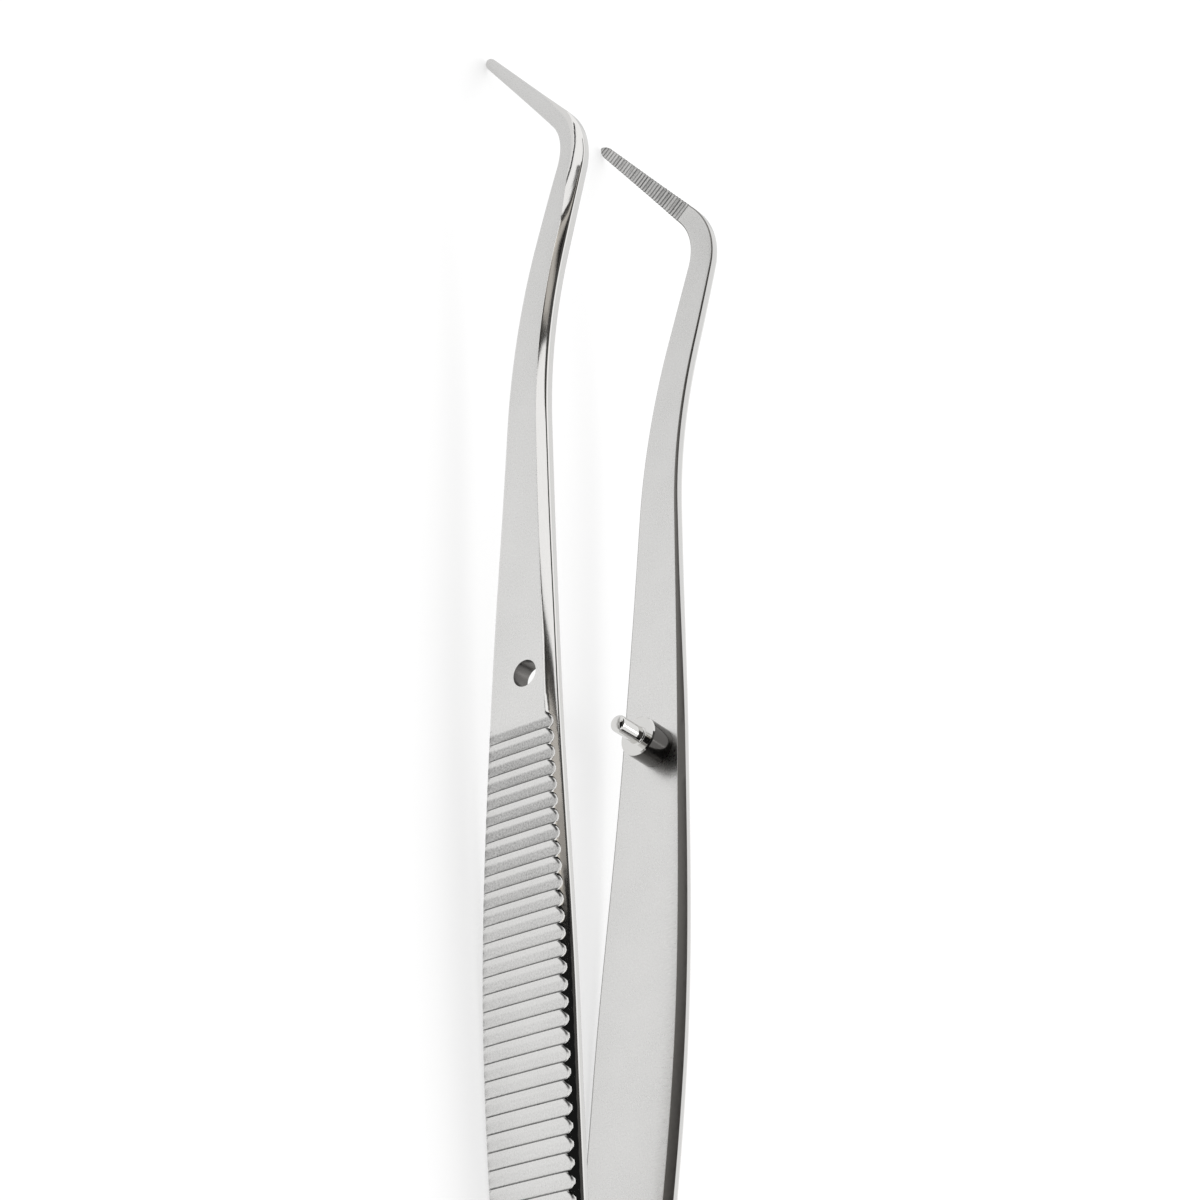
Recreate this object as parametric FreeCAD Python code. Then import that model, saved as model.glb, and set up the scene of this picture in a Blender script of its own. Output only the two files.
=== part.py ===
"""Angled dressing tweezers: two spring steel arms welded at the butt, with a guide pin and hole.

Each arm is a strip whose section changes along a centre line that lies in the plane of the arm's
broad face.  The centre line is straight through the grip, rises in a gentle neck and drops at a
sharp elbow to the fine tip.  The arms are modelled with the butt end at x = 0, the tips towards
+x, +z away from the bend of the tips, and one arm on each side of the plane y = 0.  They are then
laid on the two tips and the butt, as they rest on a table.  All sizes are in millimetres.
"""
import FreeCAD, Part
import math
import os

Vector = FreeCAD.Vector

# Centre line of an arm, seen square to its broad face
LENGTH = 150.0            # butt end to the end of the tips, along the shank
TIP_REACH = 14.8          # end of the tips back to where the lines of tip and neck cross
NECK_REACH = 20.0         # from there back to where the lines of neck and shank cross
NECK_ANGLE = 15.0         # degrees that the neck rises from the shank
NECK_RADIUS = 68.0
ELBOW_ANGLE = 55.0        # degrees that the tip turns down from the neck
ELBOW_RADIUS = 7.0
ELBOW_CORNER = LENGTH - TIP_REACH
NECK_CORNER = ELBOW_CORNER - NECK_REACH

# Width of the broad face, at distances along the centre line
BUTT_WIDTH = 7.6
GRIP_WIDTH = 9.55
HOLE_WIDTH = 6.6
SHANK_WIDTH = 4.85
NECK_WIDTH = 3.75
ELBOW_WIDTH = 2.8
TIP_ROOT_WIDTH = 1.95
TIP_WIDTH = 1.0
GRIP_CENTRE = 51.0        # widest place, from the butt end
HOLE_PLACE = 82.0         # guide line, from the butt end
SHANK_SETBACK = 14.2      # slim end of the shank, back from the neck's corner
NECK_SETBACK = 1.2        # start of the neck, back from the neck's corner

# Thickness of the strip
BUTT_THICKNESS = 2.0
GRIP_THICKNESS = 1.95
SHANK_THICKNESS = 1.65
TIP_THICKNESS = 0.95
OUTER_CROWN = 0.06        # how far the middle of the outer face bulges

# Half of the gap between the inner faces
WELD_LENGTH = 8.0         # the arms meet face to face from the butt end to here
ROOT_PLACE = 24.0
ROOT_HALF_GAP = 2.8
GRIP_HALF_GAP = 6.0
HOLE_HALF_GAP = 8.0
SHANK_HALF_GAP = 8.6
ELBOW_HALF_GAP = 9.2
TIP_HALF_GAP = 8.4
WELD_ALLOWANCE = 0.3      # ground off each arm where the weld faces are made flat

# Edges of the strip
GRIP_BEVEL_WIDTH = 1.02   # polished bevel between outer face and side: what it takes of the face
SHANK_BEVEL_WIDTH = 0.78
NECK_BEVEL_WIDTH = 0.66
ELBOW_BEVEL_WIDTH = 1.15
TIP_ROOT_BEVEL_WIDTH = 0.5
GRIP_BEVEL_DEPTH = 0.8    # and what it takes of the side
SHANK_BEVEL_DEPTH = 0.7
ELBOW_BEVEL_DEPTH = 0.5
TIP_EDGE = 0.05           # crisp edge that is left of the bevel along the tip
BEVEL_FLARE = 6.0         # the bevel widens towards the elbow from this far before it
BEVEL_FADE = 5.5          # and has narrowed to the crisp edge this far past it
GRIP_INNER_BEVEL = 0.5
SHANK_INNER_BEVEL = 0.16
TIP_INNER_BEVEL = 0.04
GRIP_SHOULDER = 1.0       # radius of the rounded lower edge of the outer face
SHANK_SHOULDER = 0.8
TIP_SHOULDER = 0.12
SHOULDER_FACETS = 3       # narrow flats that make up that rounding

# Finger flutes across the outer face of each arm
FLUTE_PITCH = 1.433
FLUTE_COUNT = 37
FLUTE_FRONT = 77.75       # front edge of the first flute, from the butt end
FLUTE_DEPTH = 0.33
CREST_DROP = 0.03         # sharp crests stand this far below the plain face

# Teeth across the inner face of each tip
TOOTH_PITCH = 0.31
TOOTH_COUNT = 38
TOOTH_DEPTH = 0.11
TOOTH_LAND = 0.02         # tops of the teeth stand this far below the plain face

# Rounded ends
BUTT_CORNER_RADIUS = 2.4
NOSE_RADIUS = 0.56

# Guide hole and guide pin, on one line across the gap
GUIDE_RISE = 0.6          # height of that line above the centre line
GUIDE_HOLE_RADIUS = 1.2
PIN_RADIUS = 0.78
PIN_LENGTH = 3.1          # beyond the collar
PIN_ROUND = 0.55          # rounding of the free end
COLLAR_RADIUS = 1.85
COLLAR_LENGTH = 2.6
COLLAR_CHAMFER = 0.12
RIVET_RADIUS = 1.1        # part of the pin that fills its hole in the arm

# Spacing of the sections that an arm is lofted through
ELBOW_STEP = 1.2
STEP_GROWTH = 1.25
SHANK_STEP = 5.0
CUTTER_REACH = 6.0        # how far every cutter stands out past the strip


class CentreLine:
    """Straight shank, neck arc, straight neck, elbow arc and straight tip, by distance along it."""

    def __init__(self):
        neck, elbow = math.radians(NECK_ANGLE), math.radians(ELBOW_ANGLE)
        neck_tangent = NECK_RADIUS * math.tan(neck / 2)
        elbow_tangent = ELBOW_RADIUS * math.tan(elbow / 2)
        rise = (ELBOW_CORNER - NECK_CORNER) / math.cos(neck)
        reach = (LENGTH - ELBOW_CORNER) / math.cos(elbow - neck)
        # each run: length and the angle that it turns, upwards being positive
        self.runs = [
            (NECK_CORNER - neck_tangent, 0.0),
            (NECK_RADIUS * neck, neck),
            (rise - neck_tangent - elbow_tangent, 0.0),
            (ELBOW_RADIUS * elbow, -elbow),
            (reach - elbow_tangent, 0.0),
        ]
        self.ends = [0.0]
        for length, _ in self.runs:
            self.ends.append(self.ends[-1] + length)
        self.length = self.ends[-1]

    def at(self, place):
        """Point (x, z) and heading in radians at a distance along the line."""
        x, z, heading = 0.0, 0.0, 0.0
        last = len(self.runs) - 1
        for index, (length, turn) in enumerate(self.runs):
            step = place if index == last else min(place, length)
            share = turn * step / length
            chord = step
            if share:
                chord = step * math.sin(share / 2) / (share / 2)
            x += chord * math.cos(heading + share / 2)
            z += chord * math.sin(heading + share / 2)
            heading += share
            place -= step
            if place <= 0:
                break
        return x, z, heading


def smooth(stations):
    """Curve through (place, value) stations that never overshoots between two of them."""
    places = [place for place, _ in stations]
    values = [value for _, value in stations]
    gaps = [right - left for left, right in zip(places, places[1:])]
    rises = [(high - low) / gap for low, high, gap in zip(values, values[1:], gaps)]
    slopes = [rises[0]]
    for before, after, gap_before, gap_after in zip(rises, rises[1:], gaps, gaps[1:]):
        if before * after <= 0:
            slopes.append(0.0)
            continue
        weight = (gap_before + 2 * gap_after) / (3 * (gap_before + gap_after))
        slopes.append(before * after / (weight * after + (1 - weight) * before))
    slopes.append(rises[-1])

    def value_at(place):
        index = 0
        while index < len(gaps) - 1 and place > places[index + 1]:
            index += 1
        gap = gaps[index]
        part = min(max((place - places[index]) / gap, 0.0), 1.0)
        low, high = values[index], values[index + 1]
        blend = part * part * (3 - 2 * part)
        lift = part * (1 - part) * (1 - part) * slopes[index]
        drop = part * part * (1 - part) * slopes[index + 1]
        return low + (high - low) * blend + gap * (lift - drop)

    return value_at


SHANK_PLACE = NECK_CORNER - SHANK_SETBACK
NECK_PLACE = NECK_CORNER - NECK_SETBACK
line = CentreLine()
ELBOW_ENTRY = line.ends[3]
ELBOW_EXIT = line.ends[4]
TIP_END = line.length

width = smooth([
    (0.0, BUTT_WIDTH), (GRIP_CENTRE, GRIP_WIDTH), (HOLE_PLACE, HOLE_WIDTH),
    (SHANK_PLACE, SHANK_WIDTH), (NECK_PLACE, NECK_WIDTH), (ELBOW_ENTRY, ELBOW_WIDTH),
    (ELBOW_EXIT, TIP_ROOT_WIDTH), (TIP_END, TIP_WIDTH),
])
thickness = smooth([
    (0.0, BUTT_THICKNESS), (GRIP_CENTRE, GRIP_THICKNESS), (SHANK_PLACE, SHANK_THICKNESS),
    (TIP_END, TIP_THICKNESS),
])
half_gap = smooth([
    (0.0, -WELD_ALLOWANCE), (WELD_LENGTH, 0.0), (ROOT_PLACE, ROOT_HALF_GAP), (GRIP_CENTRE, GRIP_HALF_GAP),
    (HOLE_PLACE, HOLE_HALF_GAP), (SHANK_PLACE, SHANK_HALF_GAP), (ELBOW_ENTRY, ELBOW_HALF_GAP),
    (TIP_END, TIP_HALF_GAP),
])
bevel_width = smooth([
    (0.0, GRIP_BEVEL_WIDTH), (GRIP_CENTRE, GRIP_BEVEL_WIDTH), (SHANK_PLACE, SHANK_BEVEL_WIDTH),
    (NECK_PLACE, NECK_BEVEL_WIDTH), (ELBOW_ENTRY - BEVEL_FLARE, NECK_BEVEL_WIDTH),
    (ELBOW_ENTRY, ELBOW_BEVEL_WIDTH), (ELBOW_EXIT, TIP_ROOT_BEVEL_WIDTH),
    (ELBOW_EXIT + BEVEL_FADE, TIP_EDGE), (TIP_END, TIP_EDGE),
])
bevel_depth = smooth([
    (0.0, GRIP_BEVEL_DEPTH), (GRIP_CENTRE, GRIP_BEVEL_DEPTH), (SHANK_PLACE, SHANK_BEVEL_DEPTH),
    (ELBOW_ENTRY, ELBOW_BEVEL_DEPTH), (ELBOW_EXIT + BEVEL_FADE, TIP_EDGE), (TIP_END, TIP_EDGE),
])
inner_bevel = smooth([
    (0.0, GRIP_INNER_BEVEL), (GRIP_CENTRE, GRIP_INNER_BEVEL), (SHANK_PLACE, SHANK_INNER_BEVEL),
    (TIP_END, TIP_INNER_BEVEL),
])
shoulder = smooth([
    (0.0, GRIP_SHOULDER), (GRIP_CENTRE, GRIP_SHOULDER), (SHANK_PLACE, SHANK_SHOULDER),
    (TIP_END, TIP_SHOULDER),
])


def on_arm(place, across, out):
    """Point of the arm at a distance along it, a height across the strip and a distance from y = 0."""
    x, z, heading = line.at(place)
    return Vector(x - across * math.sin(heading), out, z + across * math.cos(heading))


def section_poles(place):
    """Control points of the strip's outline, square to the centre line, in order round the strip."""
    half, inner = width(place) / 2, half_gap(place)
    outer = inner + thickness(place)
    chamfer, depth = bevel_width(place), bevel_depth(place)
    relief, radius = inner_bevel(place), shoulder(place)
    outline = [
        (relief - half, inner),
        (half - relief, inner),
        (half, inner + relief),
        (half, outer - depth),
        (half - chamfer, outer),
        ((radius - chamfer) / 2, outer + 2 * OUTER_CROWN),
    ]
    for step in range(SHOULDER_FACETS + 1):
        turn = math.pi / 2 * step / SHOULDER_FACETS
        outline.append((radius * (1 - math.sin(turn)) - half, outer - radius * (1 - math.cos(turn))))
    outline.append((-half, inner + relief))
    return [on_arm(place, across, out) for across, out in outline]


def face_poles():
    """Faces round the strip, each as the numbers of the control points that it runs through."""
    crown_end = 6
    last = crown_end + SHOULDER_FACETS + 1
    faces = [(0, 1), (1, 2), (2, 3), (3, 4), (4, 5, crown_end)]
    faces += [(index, index + 1) for index in range(crown_end, last)]
    faces.append((last, 0))
    return faces


def section_places():
    """Distances along the centre line of the sections: close at the elbow, wider apart away from it."""
    middle = (ELBOW_ENTRY + ELBOW_EXIT) / 2

    def steps_to(reach):
        marks, step = [0.0], ELBOW_STEP
        while marks[-1] < reach:
            marks.append(marks[-1] + step)
            if marks[-1] > middle - ELBOW_ENTRY:
                step = min(step * STEP_GROWTH, SHANK_STEP)
        return [mark * reach / marks[-1] for mark in marks]

    back = [middle - mark for mark in reversed(steps_to(middle))]
    front = [middle + mark for mark in steps_to(TIP_END - middle)]
    return back + front[1:]


def strip_blank():
    """Solid strip through all its sections, with smooth rails along its edges."""
    places = section_places()
    outlines = [section_poles(place) for place in places]
    rails = []
    for points in zip(*outlines):
        rail = Part.BSplineCurve()
        rail.interpolate(Points=list(points), Parameters=places)
        rails.append(rail)
    faces = []
    for numbers in face_poles():
        poles = [list(row) for row in zip(*[rails[index].getPoles() for index in numbers])]
        order = len(numbers)
        surface = Part.BSplineSurface()
        surface.buildFromPolesMultsKnots(
            poles, rails[0].getMultiplicities(), [order, order], rails[0].getKnots(), [0.0, 1.0],
            False, False, rails[0].Degree, order - 1)
        faces.append(surface.toShape())
    for outline in (outlines[0], outlines[-1]):
        edges = []
        for numbers in face_poles():
            edge = Part.BezierCurve()
            edge.setPoles([outline[index] for index in numbers])
            edges.append(edge.toShape())
        faces.append(Part.Face(Part.Wire(edges)))
    shell = Part.Shell(faces)
    shell.sewShape()
    solid = Part.Solid(shell)
    if solid.Volume < 0:
        solid.reverse()
    return solid


def prism(outline, direction):
    """Solid swept from a closed list of edges along a vector."""
    return Part.Face(Part.Wire(outline)).extrude(direction)


def joined(points):
    """Straight edges from each point to the next."""
    return [Part.makeLine(start, end) for start, end in zip(points, points[1:])]


def flute_cutter():
    """Comb of round ridges that sinks the finger flutes into the outer face."""
    def surface(place, depth):
        return Vector(place, half_gap(place) + thickness(place) + OUTER_CROWN - depth, -CUTTER_REACH)

    edges = []
    front = surface(FLUTE_FRONT, -CREST_DROP)
    start = front
    for index in range(FLUTE_COUNT):
        middle = FLUTE_FRONT - FLUTE_PITCH * (index + 0.5)
        back = FLUTE_FRONT - FLUTE_PITCH * (index + 1)
        drop = -CREST_DROP if index == FLUTE_COUNT - 1 else CREST_DROP
        end = surface(back, drop)
        edges.append(Part.Arc(start, surface(middle, FLUTE_DEPTH), end).toShape())
        start = end
    outside = Vector(0, CUTTER_REACH, 0)
    edges += joined([start, start + outside, front + outside, front])
    return prism(edges, Vector(0, 0, 2 * CUTTER_REACH))


def tooth_cutter():
    """Comb of sharp ridges that cuts the teeth into the inner face of the tip."""
    def surface(place, depth):
        return on_arm(place, -CUTTER_REACH, half_gap(place) + depth)

    root = TIP_END - TOOTH_PITCH * TOOTH_COUNT
    points = [surface(root, -TOOTH_LAND)]
    for index in range(TOOTH_COUNT):
        points.append(surface(root + TOOTH_PITCH * (index + 0.5), TOOTH_DEPTH))
        points.append(surface(root + TOOTH_PITCH * (index + 1), TOOTH_LAND))
    inside = Vector(0, -CUTTER_REACH, 0)
    points += [points[-1] + inside, points[0] + inside, points[0]]
    heading = line.at(TIP_END)[2]
    across = Vector(-math.sin(heading), 0, math.cos(heading))
    return prism(joined(points), across * (2 * CUTTER_REACH))


def end_cutter(place, outward, half, radius):
    """Block that leaves an end of the strip with corners of a radius, half being half its width."""
    def point(along, across):
        return on_arm(place + outward * along, across, -CUTTER_REACH)

    low = radius * (1 - math.sqrt(0.5))
    outline = [
        Part.Arc(point(-radius, half), point(-low, half - low), point(0, half - radius)).toShape(),
    ]
    if half > radius:
        outline.append(Part.makeLine(point(0, half - radius), point(0, radius - half)))
    lower = Part.Arc(point(0, radius - half), point(-low, low - half), point(-radius, -half))
    outline.append(lower.toShape())
    wide = half + CUTTER_REACH
    outline += joined([
        point(-radius, -half), point(-radius, -wide), point(CUTTER_REACH, -wide),
        point(CUTTER_REACH, wide), point(-radius, wide), point(-radius, half),
    ])
    span = ELBOW_HALF_GAP + BUTT_THICKNESS + 2 * CUTTER_REACH
    return prism(outline, Vector(0, span, 0))


def weld_cutter():
    """Block on the far side of y = 0 that leaves the weld face flat."""
    corner = Vector(-CUTTER_REACH, -CUTTER_REACH, -CUTTER_REACH)
    return Part.makeBox(LENGTH, CUTTER_REACH, 2 * CUTTER_REACH, corner)


def blank_arm():
    """One arm on the +y side, before its flutes, teeth and guide hole."""
    arm = strip_blank()
    ends = [
        end_cutter(0.0, -1, BUTT_WIDTH / 2, BUTT_CORNER_RADIUS),
        end_cutter(TIP_END, 1, NOSE_RADIUS, NOSE_RADIUS),
    ]
    return arm.cut([weld_cutter()] + ends)


def guide_frame():
    """Foot of the guide line on the inner face, and its direction square to that face."""
    step = 0.5
    slope = (half_gap(HOLE_PLACE + step) - half_gap(HOLE_PLACE - step)) / (2 * step)
    foot = on_arm(HOLE_PLACE, GUIDE_RISE, half_gap(HOLE_PLACE))
    direction = Vector(slope, -1, 0)
    direction.normalize()
    return foot, direction


def guide_pin(blank):
    """Turned pin with a stop collar, riveted through the arm and dressed flush outside."""
    foot, inward = guide_frame()
    tip = foot + inward * (COLLAR_LENGTH + PIN_LENGTH)
    stem = Part.makeCylinder(PIN_RADIUS, COLLAR_LENGTH + PIN_LENGTH, foot, inward)
    far_edges = [edge for edge in stem.Edges if (edge.CenterOfMass - tip).Length < PIN_RADIUS / 2]
    stem = stem.makeFillet(PIN_ROUND, far_edges)
    sink = WELD_ALLOWANCE
    collar = Part.makeCylinder(COLLAR_RADIUS, COLLAR_LENGTH + sink, foot - inward * sink, inward)
    rim = foot + inward * COLLAR_LENGTH
    rim_edges = [edge for edge in collar.Edges if (edge.CenterOfMass - rim).Length < PIN_RADIUS / 2]
    collar = collar.makeChamfer(COLLAR_CHAMFER, rim_edges).cut(blank)
    rivet = rivet_stock().common(blank)
    return collar.fuse([stem, rivet]).removeSplitter()


def rivet_stock():
    """Rod along the guide line, longer than the arm is thick."""
    foot, inward = guide_frame()
    start = foot - inward * (CUTTER_REACH - COLLAR_LENGTH / 2)
    return Part.makeCylinder(RIVET_RADIUS, CUTTER_REACH, start, inward)


def guide_hole_stock():
    """Rod along the guide line that bores the hole for the pin's free end."""
    foot, inward = guide_frame()
    return Part.makeCylinder(GUIDE_HOLE_RADIUS, 2 * CUTTER_REACH, foot - inward * CUTTER_REACH, inward)


def mirrored(shape):
    """The same shape on the other side of y = 0."""
    return shape.mirror(Vector(0, 0, 0), Vector(0, 1, 0))


def at_rest(shapes):
    """Lay the shapes on the tips and the butt, centred on the origin, with nothing below z = 0."""
    nose_x, nose_z, _ = line.at(TIP_END - NOSE_RADIUS)
    fall = (nose_z - NOSE_RADIUS) + BUTT_WIDTH / 2
    tilt = math.degrees(math.atan2(fall, nose_x - BUTT_CORNER_RADIUS))
    placed = []
    for shape in shapes:
        shape.rotate(Vector(0, 0, 0), Vector(0, 1, 0), tilt)
        placed.append(shape)
    box = Part.makeCompound(placed).optimalBoundingBox(True, False)
    for shape in placed:
        shape.translate(Vector(-box.Center.x, 0, -box.ZMin))
    return placed


def build():
    """Every piece by name."""
    blank = blank_arm()
    fluted = blank.cut([flute_cutter(), tooth_cutter()])
    arm_with_hole = fluted.cut(guide_hole_stock())
    arm_with_pin = mirrored(fluted.cut(rivet_stock()))
    pin = mirrored(guide_pin(blank))
    names = ["arm_with_guide_hole", "arm_with_guide_pin", "guide_pin"]
    return dict(zip(names, at_rest([arm_with_hole, arm_with_pin, pin])))


os.makedirs("parts", exist_ok=True)
for name, shape in build().items():
    shape.exportStep("parts/" + name + ".step")
    size = round(shape.Volume, 2)
    print(name, "solids", len(shape.Solids), "volume", size, "valid", shape.isValid())
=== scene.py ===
"""Angled surgical tweezers on a pale floor: two sprung steel arms, a guide pin and a guide hole.

Sizes are in millimetres until a mesh is made, and in metres from there on.  The strip of each arm is
drawn in its own frame, with the butt end at x = 0 and the tips towards +x, and is then laid at rest
on the butt and the tips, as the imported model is.
"""

import logging
import math
from dataclasses import dataclass, field, fields
from enum import IntEnum

import bpy
from mathutils import Matrix, Vector


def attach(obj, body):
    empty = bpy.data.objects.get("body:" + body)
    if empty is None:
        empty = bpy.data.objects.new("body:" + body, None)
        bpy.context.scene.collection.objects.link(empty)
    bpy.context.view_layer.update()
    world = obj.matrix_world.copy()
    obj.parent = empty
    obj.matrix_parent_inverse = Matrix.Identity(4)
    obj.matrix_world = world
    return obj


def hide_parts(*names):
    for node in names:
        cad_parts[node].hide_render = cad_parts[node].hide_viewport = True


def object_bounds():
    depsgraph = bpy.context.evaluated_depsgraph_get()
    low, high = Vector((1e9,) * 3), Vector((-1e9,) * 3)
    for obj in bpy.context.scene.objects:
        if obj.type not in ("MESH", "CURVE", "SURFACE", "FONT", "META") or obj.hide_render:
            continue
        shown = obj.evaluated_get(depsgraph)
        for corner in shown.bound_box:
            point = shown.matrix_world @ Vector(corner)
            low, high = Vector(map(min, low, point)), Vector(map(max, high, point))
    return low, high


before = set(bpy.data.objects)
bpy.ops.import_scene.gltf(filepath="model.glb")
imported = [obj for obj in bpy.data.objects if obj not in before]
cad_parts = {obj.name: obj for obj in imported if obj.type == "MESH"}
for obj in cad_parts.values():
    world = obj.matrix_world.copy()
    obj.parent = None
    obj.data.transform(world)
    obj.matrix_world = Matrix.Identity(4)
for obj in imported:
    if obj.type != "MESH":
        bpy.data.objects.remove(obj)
CAD_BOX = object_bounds()
MILLIMETRE = 0.001
BODY = "root"
log = logging.getLogger("tweezers")

Socket = bpy.types.NodeSocket
Point = tuple[float, float]


class Finish(IntEnum):
    """Finishes of the strip, as the numbers that its faces carry."""

    SATIN = 0
    EDGE = 1
    POLISHED = 2
    # Relief chamfers, whose dark colour is a painted reflection of dark surroundings
    GROUND = 3

    @property
    def steel_input(self) -> str:
        """Name of the nodes' input that takes the finish's steel."""
        return f"{self.name.title()} steel"


class Side(IntEnum):
    """Side of the middle plane that an arm stands on."""

    HOLE = 1
    PIN = -1


class Corner(IntEnum):
    """Corners of the strip's outline, in their order from the upper edge of the inner face."""

    INNER_TOP = 0
    SIDE_INNER = 1
    SIDE_OUTER = 2
    RIM = 3
    SHOULDER_START = 4
    SHOULDER_END = 5
    LOWER_SIDE = 6
    INNER_BOTTOM = 7


class Run(IntEnum):
    """Runs of an arm's centre line, in their order from the butt end."""

    SHANK = 1
    NECK = 2
    RISE = 3
    ELBOW = 4
    TIP = 5


@dataclass(frozen=True)
class Profile:
    """Curve through (place, value) stations that never overshoots between two of them."""

    stations: tuple[Point, ...]

    def slopes(self) -> list[float]:
        """Slope of the curve at each station.

        Returns:
            One slope per station, zero at a high or a low point.
        """
        gaps = [right[0] - left[0] for left, right in zip(self.stations, self.stations[1:])]
        rises = [
            (right[1] - left[1]) / gap
            for left, right, gap in zip(self.stations, self.stations[1:], gaps)
        ]
        slopes = [rises[0]]
        for before, after, gap_before, gap_after in zip(rises, rises[1:], gaps, gaps[1:]):
            if before * after <= 0:
                slopes.append(0.0)
                continue
            weight = (gap_before + 2 * gap_after) / (3 * (gap_before + gap_after))
            slopes.append(before * after / (weight * after + (1 - weight) * before))
        slopes.append(rises[-1])
        return slopes

    def at(self, place: float) -> float:
        """Value of the curve.

        Args:
            place: Distance along the strip.

        Returns:
            The value there, held level beyond the first and last stations.
        """
        index = 0
        while index < len(self.stations) - 2 and place > self.stations[index + 1][0]:
            index += 1
        (start, low), (end, high) = self.stations[index], self.stations[index + 1]
        gap = end - start
        part = min(max((place - start) / gap, 0.0), 1.0)
        slopes = self.slopes()
        blend = part * part * (3 - 2 * part)
        lift = part * (1 - part) * (1 - part) * slopes[index]
        drop = part * part * (1 - part) * slopes[index + 1]
        return low + (high - low) * blend + gap * (lift - drop)


@dataclass(frozen=True)
class CentreLine:
    """Straight shank, neck arc, straight rise, elbow arc and straight tip of an arm.

    Attributes:
        length: Distance from the butt end to the tip along the shank.
        tip_reach: Part of it beyond the elbow's corner.
        neck_reach: Part of it between the corners of the neck and the elbow.
        neck_angle: Turn of the neck in degrees.
        neck_radius: Radius of the neck's arc.
        elbow_angle: Turn of the elbow in degrees.
        elbow_radius: Radius of the elbow's arc.
    """

    length: float = 150.0
    tip_reach: float = 14.8
    neck_reach: float = 20.0
    neck_angle: float = 15.0
    neck_radius: float = 68.0
    elbow_angle: float = 55.0
    elbow_radius: float = 7.0

    def runs(self) -> list[Point]:
        """Form of the line.

        Returns:
            The length of each run and the angle in radians that it turns, upwards being positive.
        """
        neck = math.radians(self.neck_angle)
        elbow = math.radians(self.elbow_angle)
        neck_tangent = self.neck_radius * math.tan(neck / 2)
        elbow_tangent = self.elbow_radius * math.tan(elbow / 2)
        neck_corner = self.length - self.tip_reach - self.neck_reach
        rise = self.neck_reach / math.cos(neck)
        reach = self.tip_reach / math.cos(elbow - neck)
        return [
            (neck_corner - neck_tangent, 0.0),
            (self.neck_radius * neck, neck),
            (rise - neck_tangent - elbow_tangent, 0.0),
            (self.elbow_radius * elbow, -elbow),
            (reach - elbow_tangent, 0.0),
        ]

    def end_of(self, run: Run) -> float:
        """Distance along the line at the end of a run."""
        return sum(length for length, _ in self.runs()[:run])

    def at(self, place: float) -> tuple[float, float, float]:
        """Point and heading on the line.

        Args:
            place: Distance along the line from the butt end.

        Returns:
            x, z and the heading in radians, upwards being positive.
        """
        x, z, heading = 0.0, 0.0, 0.0
        runs = self.runs()
        for index, (length, turn) in enumerate(runs):
            step = place if index == len(runs) - 1 else min(place, length)
            share = turn * step / length
            chord = step * math.sin(share / 2) / (share / 2) if share else step
            x += chord * math.cos(heading + share / 2)
            z += chord * math.sin(heading + share / 2)
            heading += share
            place -= step
            if place <= 0:
                break
        return x, z, heading


@dataclass(frozen=True)
class Flutes:
    """Concave finger flutes across the outer face.

    Attributes:
        pitch: Distance from one crest to the next.
        count: How many flutes there are.
        front: Place of the crest that is nearest the tips.
        depth: Depth of a flute under the top of the face's crown.
        crest_drop: Depth of the crests under the top of the crown.
        rings: Rings of the mesh in each flute.
    """

    pitch: float = 1.433
    count: int = 37
    front: float = 77.75
    depth: float = 0.33
    crest_drop: float = 0.03
    rings: int = 10


@dataclass(frozen=True)
class Teeth:
    """Fine teeth across the inner face of the tip.

    Attributes:
        pitch: Distance from one tooth to the next.
        count: How many teeth there are.
        depth: Depth of the roots under the inner face.
        land: Depth of the crests under the inner face.
        crisp: Distance from a crest or a root to the rings that keep it sharp.
    """

    pitch: float = 0.47
    count: int = 32
    depth: float = 0.13
    land: float = 0.02
    crisp: float = 0.015


# Slack in millimetres at which no tooth reaches a point
OUT_OF_REACH = 100.0


@dataclass(frozen=True)
class RingPoint:
    """One point of the strip's outline, and how it moves when flutes and teeth are sunk.

    Attributes:
        across: Height across the strip from its centre line.
        out: Distance from the middle plane.
        share: Part of a flute's depth that the point takes.
        slack: Depth of a flute that passes above the point.
        slide: Movement across the strip for each millimetre of flute depth.
        fall: Part of the bevel that each millimetre of flute depth takes away.
        rise_across: Four times the bevel's crown, as it goes across the strip.
        rise_out: Four times the bevel's crown, as it goes outwards.
        tooth_slack: Depth of a tooth that passes below the point.
        tooth_slide: Longest movement across the strip that a tooth gives.
        turn: Angle round the shoulder from the outer face, in radians.
        radius: Radius of the shoulder, or zero off it.
        worked: How far the point takes the painted shade of the flutes or the teeth.
        rim: How far the point is on the edge between the flutes and the bevel, where dark slivers of shade
            are painted.
    """

    across: float
    out: float
    share: float = 0.0
    slack: float = 0.0
    slide: float = 0.0
    fall: float = 0.0
    rise_across: float = 0.0
    rise_out: float = 0.0
    tooth_slack: float = OUT_OF_REACH
    tooth_slide: float = 0.0
    turn: float = 0.0
    radius: float = 0.0
    worked: float = 0.0
    rim: float = 0.0


RING_VALUES = tuple(item.name for item in fields(RingPoint))[2:]
# Values that the steels still read when the flutes and the teeth are sunk
KEPT_VALUES = ("worked", "rim")
# How strongly each of the three points that round the rim takes the painted shade
RIM_SHADE_SHARES = (0.6, 1.0, 0.0)


def eased(middle: Point, target: Point, softness: float) -> Point:
    """Point at which the rounding of a corner begins or ends.

    Args:
        middle: The corner.
        target: The point of the outline before or after the corner.
        softness: Distance from the corner, which a third of the way to the target limits.

    Returns:
        The point.
    """
    reach = math.dist(middle, target) or 1.0
    step = min(softness, reach / 3) / reach
    return (middle[0] + (target[0] - middle[0]) * step, middle[1] + (target[1] - middle[1]) * step)


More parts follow.
